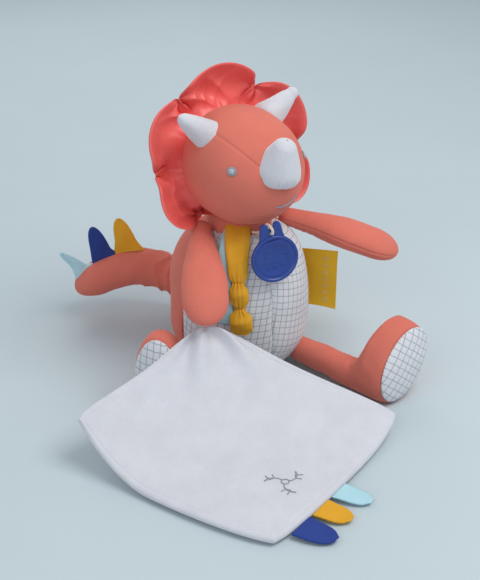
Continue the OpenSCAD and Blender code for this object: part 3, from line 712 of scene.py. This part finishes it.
def brow_place(side):
    R = rot("y", side * 54) @ rot("x", 4)
    at = np.array([27, 5, 28]) if side > 0 else np.array([-24.4, -0.3, 23.4])
    return lambda p: in_head(p @ R.T + at)


def nose_place(p):
    return in_head(p @ rot("x", 20).T + np.array([0, -45, 2]))


horn_left = horn("brow_horn_left", 12, 32, 1.15, brow_place(1), knob=0.10, seed=1.0)
horn_right = horn("brow_horn_right", 12, 37, 1.35, brow_place(-1), knob=0.0, seed=2.4)
horn_nose = horn("nose_horn", 20.3, 35, 1.2, nose_place, knob=0.0, seed=4.1)


# ---------- face ----------
def skull_hit(direction):
    """Point and normal on the head surface along a direction from its middle, in the muzzle frame."""
    d = unit(direction)
    t = 40.0
    for _ in range(40):
        p = d * t
        r = math.hypot(p[0], p[1])
        target = float(skull_rad(np.array(p[2])))
        t += (target - r) / max(0.3, math.hypot(d[0], d[1]))
    p = d * t
    e = 0.5
    g = (float(skull_rad(np.array(p[2] + e))) - float(skull_rad(np.array(p[2] - e)))) / (2 * e)
    r = math.hypot(p[0], p[1])
    return p, unit(np.array([p[0] / r, p[1] / r, -g]))


def eye(name, side, node):
    d = rot("z", side * 41) @ rot("x", -13) @ np.array([0, -1.0, 0])
    inv = rot("x", MUZZLE_TILT).T
    p, n = skull_hit(inv @ d)
    up = unit(np.array([0, 1.0, 0]) - n * n[1])
    across = np.cross(up, n)
    parts = []
    R, wide = 3.1, 1.15
    for ring, (rad_mm, lift, count) in enumerate(((R, 0.35, 13), (R * 0.5, 0.8, 7))):
        for i in range(count):
            x = rad_mm * wide * (2 * (i + 0.5) / count - 1)
            h = math.sqrt(max(0.05, 1 - (x / (rad_mm * wide)) ** 2)) * rad_mm
            pts = []
            for t in np.linspace(-1, 1, 9):
                y = h * t
                dome = lift + 0.45 * (1 - (x / (rad_mm * wide)) ** 2) * (1 - t * t) - (x * x + y * y) / 86
                pts.append(on_muzzle((p + across * x + up * y + n * dome)[None])[0])
            parts.append((ring, tube(pts, 0.34, 6)))
    bundle(name, [t for k, t in parts if k == 0], thread, body="head", slot="grey_thread", nodes=[node])
    # the inner, raised ring in paler thread is a painted glint on each eye, not a thread colour of its own
    bundle(name + "_glint", [t for k, t in parts if k == 1], glint_thread, body="head", slot="grey_thread")


eye("eye_left_thread", 1, "eye_left")
eye("eye_right_thread", -1, "eye_right")

theta = rad(np.linspace(-24, 50, 60))
mx, my = 2.9 + 15.6 * np.sin(theta), 1.0 - 15.6 * np.cos(theta)
mz = skull_front(np.hypot(mx, my)) + 0.25
mouth_path = on_muzzle(np.stack([mx, my, mz], -1))
bundle("mouth_thread", stitches(mouth_path, 1.7, 2.3, 0.58), thread, body="head", slot="grey_thread",
       nodes=["mouth"])


# ---------- arms ----------
ARM_L, ARM_W, ARM_H, SHOULDER_X = 85.0, 17.0, 10.5, 40.5
ARM_ROOT = {1: (np.array([SHOULDER_X, -6, 109.5]), rot("z", 50) @ rot("x", 14.2)),
            -1: (np.array([2.2 - SHOULDER_X, -7.7, 115.2]), rot("z", -24) @ rot("x", 23.6))}


def arm(side, label):
    root, R = ARM_ROOT[side]
    V, A = around(np.linspace(0.01, 0.99, 150), 150)
    s = (1 - np.cos(np.pi * V)) / 2
    w = ARM_W * mix(0.45, 1, ease(s / 0.62)) * ends(s, 0.07, 0.74)
    h = ARM_H * mix(0.6, 1, ease(s / 0.42)) * ends(s, 0.07, 0.74)
    ca, sa = np.cos(rad(A)), np.sin(rad(A))
    P = stack(w * ca, -ARM_L * (s - 0.13 * (1 - s) ** 4), h * sa + 2.5 * np.sin(np.pi * s))
    dm = rad(seam_gap(A, 0, 180)) * (h + 3)
    fade = np.sin(np.pi * np.clip(s, 0, 1)) ** 0.4
    disp = seam_dip(dm, 0.75, 0.9) + 0.16 * np.sin(s * ARM_L / 0.6) * np.exp(-((dm / 2.4) ** 2))
    tuck = np.sin(s * 62 + 2.2 * ca + 1.4 * np.sin(3 * rad(A) + side) + side)
    disp += 0.3 * bump(s, 0.2, 0.09) * (1 - 1.6 * np.abs(tuck)) * (0.4 + 0.6 * np.clip(-sa, 0, 1))
    disp += 0.8 * ripple(P, 13, side * 2.0) + 0.35 * ripple(P, 5, side * 5.0) * bump(s, 0.35, 0.3)
    Q = P @ R.T + root
    nodes = [f"arm_{label}_top", f"arm_{label}_under", f"arm_{label}_stuffing"]
    return rings(f"arm_{label}_jersey", Q, coral, disp=disp * fade, body=f"arm_{label}", slot="coral_cotton",
                 nodes=nodes)


arm_left = arm(1, "left")
arm_right = arm(-1, "right")

# ---------- legs ----------
LEG_R, FOOT_W, FOOT_H, SOLE_AT = 11.5, 20.0, 33.0, 0.985
HIP_Z = LEG_R + 1.2
LEG = {1: dict(root=np.array([32, -39, HIP_Z]), R=rot("z", 19) @ rot("y", 40), reach=89.0, turn=12, tilt=0),
       -1: dict(root=np.array([-53, -9.6, HIP_Z]), R=rot("z", -44), reach=73.2, turn=10, tilt=10)}


def foot_in(s):
    return ease((s - 0.58) / 0.19)


def leg_section(s):
    slim = 0.88 + 0.12 * ease(s / 0.5)
    rnd = 1 - 0.12 * (np.clip(s - 0.86, 0, None) / 0.14) ** 2
    cap = ends(s, 0.14, 1.001)
    return (mix(LEG_R * slim, FOOT_W, foot_in(s)) * cap * rnd,
            mix(LEG_R * slim, FOOT_H, foot_in(s)) * cap * rnd)


def leg_point(g, s, A, grow=0.0):
    w, h = leg_section(s)
    z = (h + grow) * np.sin(rad(A)) + (FOOT_H - LEG_R - 0.5) * foot_in(s)
    x = (w + grow) * np.cos(rad(A))
    slope = math.tan(math.radians(g["turn"])) * x - math.tan(math.radians(g["tilt"])) * z
    return stack(x, -(g["reach"] * s + slope * ease((s - 0.55) / 0.45)), z)


def leg(side, label):
    g = LEG[side]
    thigh = (1 - np.cos(np.linspace(0.05, 0.5 * np.pi, 90))) * 0.6
    S, A = around(np.concatenate([thigh, np.linspace(0.61, SOLE_AT, 60)]), 150)
    P = leg_point(g, S, A)
    P[..., 1] += 22.0 * (1 - S) ** 7
    w = leg_section(S)[0]
    dm = rad(seam_gap(A, 90, 270)) * (w + 1)
    disp = seam_dip(dm, 0.7, 0.9) + 0.15 * np.sin(S * g["reach"] / 0.6) * np.exp(-((dm / 2.4) ** 2))
    up = np.clip(np.sin(rad(A)), 0, None)
    crease = np.abs(np.sin(S * 48 + 1.3 * np.cos(rad(A)) + 0.8 * np.sin(3 * rad(A))))
    disp += 1.4 * (1 - 1.8 * crease ** 0.5) * bump(S, 0.6, 0.07) * up
    disp += 0.4 * np.sin(S * 30 + 2 * np.cos(rad(A)) + np.sin(2 * rad(A))) * bump(S, 0.2, 0.15)
    disp += 0.8 * ripple(P, 13, side * 3.0) + 0.25 * ripple(P, 5, side * 4.0) - 1.1 * bump(S, SOLE_AT, 0.014)
    disp *= ease(S * 14)
    near = leg_point(g, np.full_like(S[-1:], SOLE_AT), A[-1:])
    centre = near.mean(1, keepdims=True)
    inner = np.concatenate([centre + (near - centre) * k + np.array([0, 0.5, 0]) for k in (0.97, 0.6, 0.2)])
    Q = np.concatenate([P, inner])
    disp = np.concatenate([disp, np.zeros_like(inner[..., 0])])
    o = rings(f"leg_{label}_jersey", Q @ g["R"].T + g["root"], coral, disp=disp, body=f"leg_{label}",
              slot="coral_cotton", nodes=[f"leg_{label}_{part}" for part in ("outer", "inner", "stuffing")])
    K, B = around(np.linspace(0.01, 1, 30), 150)
    rim = leg_point(g, np.full_like(K, SOLE_AT), B, 0.0)
    mid = rim.mean(1, keepdims=True)
    face = mid + (rim - mid) * K[..., None]
    dome = 0.5 + 4.0 * np.clip(1 - K ** 2.4, 0, None) ** 0.8 + 0.3 * ripple(face, 9, 8 + side) * (1 - K ** 6)
    dome -= 0.28 * (0.5 + 0.5 * np.sin(rad(B) * 46)) * bump(K, 0.95, 0.05)
    front = face - stack(0 * K, dome, 0 * K)
    rear = face - stack(0 * K, 0 * K - 0.4, 0 * K)
    back_rows = rear[::-6]
    uv_f = np.stack([face[..., 0], face[..., 2]], -1)
    G = np.concatenate([front, back_rows])
    uvs = np.concatenate([uv_f, uv_f[::-6]])
    sole = rings(f"leg_{label}_sole_check", G @ g["R"].T + g["root"], check, uv=uvs, body=f"leg_{label}",
                 slot="check_cotton", nodes=[f"leg_{label}_sole"])
    return o, sole


leg_left, sole_left = leg(1, "left")
leg_right, sole_right = leg(-1, "right")

# ---------- tail ----------
TAIL_R, TAIL_X, TAIL_Y, TAIL_Z = 17.5, 94.0, 113.0, 34.0
TAIL_ROOT = np.array([-3.0, 57.0, TAIL_Z])


def tail_mid(s):
    s = np.asarray(s, float)
    return stack(TAIL_ROOT[0] - (TAIL_X - 2) * s ** 1.35,
                 TAIL_ROOT[1] + (TAIL_Y - TAIL_ROOT[1]) * np.sin(rad(78 * s)) / math.sin(math.radians(78)),
                 TAIL_Z + 9 * bump(s, 0.58, 0.24) - 11 * s ** 8)


def tail_point(s, A, t=0.0):
    s = np.asarray(s, float)
    d = unit(tail_mid(np.minimum(1, s + 0.02)) - tail_mid(np.maximum(0, s - 0.02)))
    side = unit(np.cross(d, [0, 0, 1.0]))
    up = np.cross(side, d)
    e = ends(s, 0.14, 0.84)
    r = mix(TAIL_R, TAIL_R * 0.8, s) * e + t * e
    return (tail_mid(s) - d * (t * (1 - 2 * s))[..., None] + side * (r * np.cos(rad(A)))[..., None]
            + up * (r * np.sin(rad(A)))[..., None])


def tail():
    V, A = around(np.linspace(0.01, 0.99, 180), 140)
    S = (1 - np.cos(np.pi * V)) / 2
    P = tail_point(S, A)
    P[..., 1] -= 9.0 * (1 - S) ** 9
    dm = rad(seam_gap(A, 90, 270)) * 14
    disp = seam_dip(dm, 0.8, 0.9) + 0.16 * np.sin(S * 130 / 0.6) * np.exp(-((dm / 2.4) ** 2))
    under = np.clip(-np.sin(rad(A)), 0, None)
    crease = np.abs(np.sin(S * 33 + 1.5 * np.cos(rad(A)) + 1.1 * np.sin(2 * rad(A)) + 0.8 * np.sin(S * 21)))
    disp += 1.5 * (1 - 1.9 * crease ** 0.45) * bump(S, 0.36, 0.15) * (0.55 + 0.45 * under)
    disp += 0.8 * ripple(P, 13, 6.0) + 0.25 * ripple(P, 5, 2.0)
    return rings("tail_jersey", P, coral, disp=disp * np.sin(np.pi * S) ** 0.4, body="tail",
                 slot="coral_cotton", nodes=["tail_right", "tail_left", "tail_stuffing"])


tail_piece = tail()


def spike(name, s0, base, high, lean, mat, slot, node, seed):
    m = tail_point(np.array(s0), np.array(90.0), 0.5)
    d = unit(tail_mid(min(1, s0 + 0.02)) - tail_mid(max(0, s0 - 0.02)))
    nu, nv = 36, 40
    ring = np.concatenate([np.linspace(0, 1, nu), np.linspace(1, 0, nu)[1:-1]])
    face = np.concatenate([np.ones(nu), -np.ones(nu - 2)])
    v, u = np.meshgrid(np.linspace(0, 0.985, nv), ring, indexing="ij")
    f = face[None] + 0 * v
    x = (u - 0.5) * base * (1.12 - 0.45 * v) * np.sqrt(np.clip(1.0 - v ** 5, 0.0, None)) + lean * v
    q = tail_point(np.clip(s0 + x / 125, 0, 0.97), np.full_like(x, 90.0), -0.4)
    w = ease(v * 3)
    foot = mix(q, m, w[..., None])
    crown = np.sqrt(np.clip(4 * u * (1 - u), 0, None))
    puff = np.maximum(0.25 + 2.3 * crown * (1 - 0.55 * v) + 0.2 * np.sin(9 * v + 7 * u + seed), 0.2)
    side = np.cross(d, [0, 0, 1.0])
    P = foot + d * (x * w)[..., None] * np.array([1, 1, 0]) + stack(0 * v, 0 * v, high * v)
    P = P + side * (f * puff)[..., None]
    return rings(name, P, mat, body="tail", slot=slot, nodes=[node])


spike("spike_mustard_cloth", 0.615, 18, 28, 7, mustard, "mustard_cotton", "spike_mustard", 0.0)
spike("spike_blue_cloth", 0.76, 18, 28, 8, blue_cloth, "blue_cotton", "spike_blue", 1.3)
spike("spike_mint_cloth", 0.895, 14, 28 * 0.6, 19, mint, "mint_satin", "spike_mint", 2.6)


# ---------- tie ----------
def over_torso(a, z, t):
    r = torso_rad(z)
    g = (torso_rad(z + 1) - torso_rad(z - 1)) / 2
    n = np.hypot(1, g)
    rr = r + t / n
    return TORSO_AT + stack(rr * np.sin(rad(a)), -rr * np.cos(rad(a)), z + t * (-g / n))


def tie_half(v):
    return (9.2 - 2.4 * ease(v / 0.3) - 2.6 * bump(v, 0.4, 0.04) - 1.4 * ease((v - 0.38) / 0.1)
            - 2.6 * bump(v, 0.68, 0.05) + ease((v - 0.7) / 0.1) - 4.5 * ease((v - 0.93) / 0.14))


def tie():
    nv, nu = 170, 30
    ring = np.concatenate([np.linspace(0, 1, nu), np.linspace(1, 0, nu)[1:-1]])
    face = np.concatenate([np.ones(nu), np.zeros(nu - 2)])
    v, u = np.meshgrid(np.linspace(0, 1, nv), ring, indexing="ij")
    f = face[None] + 0 * v
    z = mix(114, 48.5, v) + 3.6 * np.clip(1 - v / 0.12, 0, None)
    across = 2 * tie_half(v) * (1 + 0.2 * ease((v - 0.4) / 0.1))
    a = -30.5 + 4.5 * v + (u - 0.5) * across / torso_rad(z) * DEG_PER_RAD
    thick = 1.4 + 2.6 * bump(v, 0.52, 0.09) + 3.2 * bump(v, 0.85, 0.1) + 1.2 * bump(v, 0.2, 0.2)
    crown = np.sqrt(np.clip(4 * u * (1 - u), 0, None))
    fold = np.zeros_like(v)
    for pin, wide in ((0.4, 0.05), (0.68, 0.06)):
        fold += 0.75 * np.cos((u - 0.5) * 26 + 3 * (v - pin)) * np.exp(-np.abs(v - pin) / wide)
        fold -= 1.1 * np.exp(-(((v - pin) / 0.012) ** 2))
    fold += 0.35 * np.sin(u * 9 + 6 * v) * (1 - ease((v - 0.3) / 0.1)) + 0.2 * np.sin(v * 60 + u * 4)
    lift = 3.6 + f * (thick * (0.35 + 0.65 * crown) + fold * crown)
    P = over_torso(a, z, lift)
    return rings("tie_mustard_cloth", P, mustard, body="torso", slot="mustard_cotton",
                 nodes=["tie_mustard"])


tie_piece = tie()
MINT_WIDE = 10.0
V, U = square(60, 14)
z = mix(113, 56, V) + 4.2 * np.clip(1 - V / 0.12, 0, None)
a = -43 + 6 * V + (U - 0.5) * MINT_WIDE / torso_rad(z) * DEG_PER_RAD
P = over_torso(a, z, 2.9 + 0.25 * np.sin(V * 40) * (U - 0.5) + 0.3 * np.sin(V * 9))
tie_mint_piece = shell("tie_mint_ribbon", P, 0.9, mint, body="torso", slot="mint_satin", nodes=["tie_mint"])

# ---------- medallion ----------
DISC_R = 18.0
DISC_AT = np.array([-3.3, -55, 107.5])
DISC = rot("z", -8) @ rot("x", 86) @ rot("z", 7)


def in_disc(p):
    return p @ DISC.T + DISC_AT


def disc():
    prof = [(0.05, 0.0), (14, 0.0), (17.2, 0.0), (17.8, 0.25), (18, 0.7), (18, 2.9), (17.8, 3.3),
            (17.3, 3.5), (16.4, 3.5), (15.9, 3.3), (15.7, 2.8), (15.2, 2.6), (13.6, 2.6), (13.4, 2.75),
            (13.1, 2.85), (12.8, 2.75), (12.6, 2.6), (0.05, 2.6)]
    r = np.array([p[0] for p in prof])[:, None]
    h = np.array([p[1] for p in prof])[:, None]
    a = np.linspace(0, 2 * np.pi, 128, endpoint=False)[None]
    body = rings("medallion_disc", in_disc(stack(r * np.cos(a), r * np.sin(a), h + 0 * a)), plastic,
                 body="medallion", slot="blue_plastic", nodes=["medallion"])
    out = []
    for x in (-5.0, 5.0):
        out += [(x + 2.6 * math.cos(t), DISC_R + 7.2 + 2.6 * math.sin(t)) for t in
                (np.linspace(math.pi * 1.05, 0.2, 16) if x < 0 else np.linspace(math.pi * 0.8, -0.05, 16))]
        if x < 0:
            out += [(x2, DISC_R + y2) for x2, y2 in
                    ((-2.2, 5.6), (-1.2, 5.1), (0, 5.0), (1.2, 5.1), (2.2, 5.6))]
    out += [(8.2, DISC_R + 3), (9.5, DISC_R - 4), (-9.5, DISC_R - 4), (-8.2, DISC_R + 3)]
    me_c = bpy.data.curves.new("lug", "CURVE")
    me_c.dimensions = "2D"
    me_c.fill_mode = "BOTH"
    me_c.extrude = 1.05
    me_c.bevel_depth = 0.25
    me_c.bevel_resolution = 2
    turns = np.linspace(0, 2 * math.pi, 40)[:-1]
    hole = [(1.75 * math.cos(t), DISC_R + 2.2 + 1.75 * math.sin(t)) for t in turns]
    for loop in (out, hole):
        sp = me_c.splines.new("POLY")
        sp.points.add(len(loop) - 1)
        for p, q in zip(sp.points, loop):
            p.co = (q[0], q[1], 0, 1)
        sp.use_cyclic_u = True
    tmp = bpy.data.objects.new("lug_tmp", me_c)
    scene.collection.objects.link(tmp)
    bpy.context.view_layer.update()
    me = bpy.data.meshes.new_from_object(tmp.evaluated_get(bpy.context.evaluated_depsgraph_get()))
    bpy.data.objects.remove(tmp)
    co = np.array([v.co for v in me.vertices])
    co[:, 2] += 1.3
    co = in_disc(co) * MM
    me.vertices.foreach_set("co", co.ravel())
    me.materials.clear()
    me.materials.append(plastic)
    lug = bpy.data.objects.new("medallion_lug", me)
    scene.collection.objects.link(lug)
    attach(lug, "medallion")
    # a generic raised wave pattern inside the ring
    waves = []
    for k, y in enumerate((6.5, 2.2, -2.2, -6.5)):
        half = math.sqrt(10.5 ** 2 - y * y)
        x = np.linspace(-half, half, 60)
        pts = np.stack([x, y + 0.9 * np.sin(x * 0.95 + k), np.full_like(x, 2.62)], -1)
        waves.append(tube(in_disc(pts), 0.36, 8))
    bundle("medallion_relief", waves, plastic, body="medallion", slot="blue_plastic")
    return body


disc()
CORD_WAY = np.array([[0, 27, -13], [-1, 15, -8], [-1.2, 5, 1.8], [-0.5, 0.7, 2.9], [-0.1, -3.1, 0.8],
                     [0.2, -2.6, -2.2], [0.4, 0.6, -2.8], [1.6, 5, -4.0], [5, 15, -9], [10, 27, -14]], float)
BAR_AT = DISC_AT + np.array([-2.7, 0.7, DISC_R + 4.7])


def cord_point(k):
    n = len(CORD_WAY) - 1
    x = min(n - 1e-4, max(0.0, k * n))
    i = int(x)
    f = x - i
    a, b, c, d = CORD_WAY[max(0, i - 1)], CORD_WAY[i], CORD_WAY[i + 1], CORD_WAY[min(n, i + 2)]
    bend = (2 * a - 5 * b + 4 * c - d) * f ** 2 + (3 * b - a - 3 * c + d) * f ** 3
    return BAR_AT + 0.5 * (2 * b + (c - a) * f + bend)


way = np.array([cord_point(k) for k in np.linspace(0, 1, 140)])
tang = unit(np.gradient(way, axis=0))
n1 = unit(np.cross(tang, [1, 0.1, 0]))
n2 = np.cross(tang, n1)
arc = np.concatenate([[0], np.cumsum(np.linalg.norm(np.diff(way, axis=0), axis=1))])
plies = []
for k in range(3):
    ph = arc * 2 * np.pi / 5.0 + k * 2 * np.pi / 3
    plies.append(tube(way + 0.5 * (n1 * np.cos(ph)[:, None] + n2 * np.sin(ph)[:, None]), 0.58, 8))
bundle("medallion_cord_plies", plies, cord_mat, body="medallion", slot="cream_cord",
       nodes=["medallion_cord"])

# ---------- label ----------
LABEL_Z, LABEL_H, LABEL_W = 30.0, 49.5, 28.0
turn = math.radians(-39)
OUT = np.array([math.cos(turn), math.sin(turn), 0])
NRM = np.array([-math.sin(turn), math.cos(turn), 0])


def label_point(u, v, t):
    z = LABEL_Z + LABEL_H * v
    r = torso_rad(z)
    wide = (LABEL_W + TORSO_R - r) * u
    return (TORSO_AT + stack(r + 0.9, -2 + 0 * r, z) + OUT * wide[..., None] + NRM * (t + 0 * wide)[..., None]
            + stack(0 * u, 0 * u, -3 * u ** 2 * (1 - v)))


U, V = square(60, 90)
warp = 0.5 * np.sin(U * 2.6 + V * 2) * U + 0.25 * np.sin(V * 7) * U
label_piece = shell("label_cloth", label_point(U, V, warp + 0.9), 0.8, label_mat, outward=False, body="label",
                    slot="mustard_cotton", nodes=["label"])
marks = []
for face in (1.12, -0.12):
    for i in range(7):
        v0 = 0.14 + 0.72 * i / 6
        for s in (-1, 1):
            u = np.linspace(0.62, 0.74, 6)
            v = v0 + s * 0.035 * (1 - np.abs((u - 0.68) / 0.06))
            w = 0.5 * np.sin(u * 2.6 + v * 2) * u + 0.25 * np.sin(v * 7) * u
            marks.append(tube(label_point(u, v, w + face - 0.05), 0.3, 6))
bundle("label_weave", marks, pale_weave, body="label", slot="mustard_cotton")

# ---------- blanket ----------
CA, CB, CC, CD = (np.array(c, float) for c in
                  ([-63, -63, 70], [-173.5, -78, 37.5], [-97.5, -228, 4], [50, -151, 13]))
BLANKET_SIDE = 165


def blanket_mid(s, r):
    """Middle of the cloth; s and r run from the held corner along its two sides."""
    s, r = np.broadcast_arrays(np.asarray(s, float), np.asarray(r, float))
    flat = mix(mix(CA, CB, s[..., None]), mix(CD, CC, s[..., None]), r[..., None])
    ab = CB[2] + (CA[2] - CB[2]) * np.clip(1 - s, 0, None) ** 1.3
    ad = CD[2] + (CA[2] - CD[2]) * np.clip(1 - r, 0, None) ** 1.05
    bc = CC[2] + (CB[2] - CC[2]) * np.clip(1 - r / 0.4, 0, None) ** 1.6
    dc = CC[2] + (CD[2] - CC[2]) * np.clip(1 - s / 0.3, 0, None) ** 1.6
    z = mix(ab, dc, r) + mix(ad, bc, s) - mix(mix(CA[2], CB[2], s), mix(CD[2], CC[2], s), r)
    m = np.maximum(s, r)
    ridge = 4 * bump(s - r, 0, 0.12) * (1 - m) ** 2
    spread = 10 * (s - r) / (0.07 + np.abs(s - r)) * bump(m, 0.05, 0.26)
    bbc = 7 * np.sin(np.pi * r) * s ** 3
    bdc = 2.5 * np.sin(np.pi * s) * r ** 3
    return stack(flat[..., 0] - 0.89 * bbc + 0.44 * bdc - 0.92 * spread,
                 flat[..., 1] - 0.45 * bbc - 0.9 * bdc + 0.2 * spread,
                 np.maximum(CC[2], z) + ridge)


def blanket_sr(u, v):
    k = 0.045 * np.abs(2 * u - 1) ** 6 * np.abs(2 * v - 1) ** 6
    return mix(u, 0.5, k), mix(v, 0.5, k)


def blanket():
    n = 170
    t = (1 - np.cos(np.pi * np.linspace(0, 1, n))) / 2
    t = 0.5 * t + 0.5 * np.linspace(0, 1, n)
    U, V = np.meshgrid(t, t, indexing="ij")
    s, r = blanket_sr(U, V)
    mid = blanket_mid(s, r)
    nrm = grid_normals(mid)
    nrm = nrm * np.sign(nrm[..., 2:3].mean())
    edge = np.minimum(np.minimum(U, 1 - U), np.minimum(V, 1 - V)) * BLANKET_SIDE
    full = np.sqrt(np.clip(1 - (1 - np.clip(edge / 5.5, 0, 1)) ** 2, 0, 1))
    dist = np.hypot(s, r)
    ang = np.arctan2(r, s)
    fan = np.cos(11.5 * ang - 0.9 + 0.7 * np.sin(3 * ang)) * np.exp(-dist / 0.32) * ease(dist / 0.1)
    groove = seam_dip(np.abs(edge - 4.6), 0.5, 0.9)
    pile = 0.12 * ripple(mid, 2.6, 2.0) + 0.5 * ripple(mid, 21, 1.0)
    drape = 1.3 * ripple(mid, 34, 4.0) * ease(edge / 20)
    top = mid + nrm * (0.25 + 3.0 * full + groove + pile * full + 6.0 * fan * full + drape)[..., None]
    low = mid - nrm * (0.25 + 2.3 * full + 0.5 * groove - 0.25 * pile * full
                       - 6.0 * fan * full - drape)[..., None]
    low[..., 2] = np.maximum(low[..., 2], 0.9)
    top[..., 2] = np.maximum(top[..., 2], low[..., 2] + 0.4)
    verts, faces = two_sided(top, low)
    o = mesh("blanket_plush", verts, faces, white, slot="white_plush",
             nodes=["blanket_top", "blanket_bottom"])
    return o, top.reshape(-1, 3)


blanket_piece, blanket_face = blanket()


def on_blanket(s, r, up):
    p = blanket_mid(s, r)
    d = np.hypot(p[:, None, 0] - blanket_face[None, :, 0], p[:, None, 1] - blanket_face[None, :, 1])
    near = np.argsort(d, axis=1)[:, :4]
    w = 1 / (np.take_along_axis(d, near, 1) + 0.1)
    p[..., 2] = (blanket_face[near, 2] * w).sum(1) / w.sum(1) + up
    return p


def motif():
    parts = []

    def line(xs, ys):
        p = on_blanket(0.66 + np.asarray(xs) / BLANKET_SIDE, 0.82 + np.asarray(ys) / BLANKET_SIDE, 0.3)
        parts.extend(stitches(p, 1.5, 1.9, 0.36))

    for k in range(3):
        a0 = rad(20 + 120 * k)
        t = np.linspace(0, 1, 40)
        x = 3 * np.cos(a0) + 11 * t * np.cos(a0 + 0.9 * t)
        y = 3 * np.sin(a0) + 11 * t * np.sin(a0 + 0.9 * t)
        line(x, y)
        for q in (0.45, 0.75):
            xx, yy = np.interp(q, t, x), np.interp(q, t, y)
            for side in (-1, 1):
                b = a0 + 0.9 * q + side * 0.9
                line(xx + np.linspace(0, 4, 8) * math.cos(b), yy + np.linspace(0, 4, 8) * math.sin(b))
    t = np.linspace(0, 2 * np.pi, 40)
    line(2.6 * np.cos(t), 2.6 * np.sin(t))
    return bundle("blanket_stitched_motif", parts, thread, body="torso", slot="grey_thread",
                  nodes=["blanket_motif"])


motif()


def tag(name, r0, wide, long, twist, mat, slot, node):
    root = blanket_mid(1 - r0, 1.0)
    out, along = np.array([0.45, -0.89, 0]), np.array([0.89, 0.45, 0])
    U, V = square(34, 40, -0.06)
    w = wide * (U - 0.5) * np.sqrt(np.clip(1 - np.clip(V, 0, 1) ** 2.5, 0.04, None))
    z = 3.1 - 1.2 * V + 0.35 * np.sin(V * 6 + U * 3) + 0.5 * bump(V, 0.96, 0.06)
    P = stack(root[0] + along[0] * w + (out[0] + along[0] * twist) * long * V + out[0] * 1.6,
              root[1] + along[1] * w + (out[1] + along[1] * twist) * long * V + out[1] * 1.6, z)
    return shell(name, P, 1.3, mat, outward=False, body="torso", slot=slot, nodes=[node])


tags = [tag("tag_blue_ribbon", 0.16, 21, 24, 0.1, blue_cloth, "blue_cotton", "tag_blue"),
        tag("tag_mustard_ribbon", 0.30, 19, 21, 0.1, mustard, "mustard_cotton", "tag_mustard"),
        tag("tag_mint_ribbon", 0.435, 17, 22, 0.15, mint, "mint_satin", "tag_mint")]

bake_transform(blanket_piece)

# ---------- floor and light ----------
floor_me = bpy.data.meshes.new("floor")
FLOOR_HALF, FLOOR_DROP = 30, -0.0002
floor_corners = [(x * FLOOR_HALF, y * FLOOR_HALF, FLOOR_DROP)
                 for x, y in ((-1, -1), (1, -1), (1, 1), (-1, 1))]
floor_me.from_pydata(floor_corners, [], [(0, 1, 2, 3)])
floor = bpy.data.objects.new("floor", floor_me)
scene.collection.objects.link(floor)
floor_mat, fnt, fb, fcoord = node_mat("pale_floor", (0.56, 0.64, 0.68), 0.9)
floor_tone = ramp(fnt, noise_node(fnt, fcoord, 6, 3).outputs[0],
                  [(0.3, (0.50, 0.585, 0.625)), (0.7, (0.515, 0.60, 0.64))])
fnt.links.new(floor_tone, fb.inputs["Base Color"])
floor_me.materials.append(floor_mat)


def area_light(name, at, size, power, colour=(1, 1, 1)):
    data = bpy.data.lights.new(name, "AREA")
    data.size = size
    data.energy = power
    data.color = colour
    o = bpy.data.objects.new(name, data)
    scene.collection.objects.link(o)
    o.location = at
    o.rotation_euler = (Vector(at) - Vector((0, -0.03, 0.08))).to_track_quat("Z", "Y").to_euler()
    return o


area_light("key", (0.35, -0.55, 1.1), 0.7, 8.2, (1.0, 0.985, 0.96))
area_light("fill", (-0.9, -0.7, 0.6), 0.9, 3.0, (0.93, 0.96, 1.0))
area_light("rim", (0.2, 0.9, 0.8), 0.8, 3.0)
world = bpy.data.worlds.new("studio")
world.use_nodes = True
world.node_tree.nodes["Background"].inputs["Color"].default_value = (0.86, 0.90, 0.94, 1)
world.node_tree.nodes["Background"].inputs["Strength"].default_value = 0.55
scene.world = world
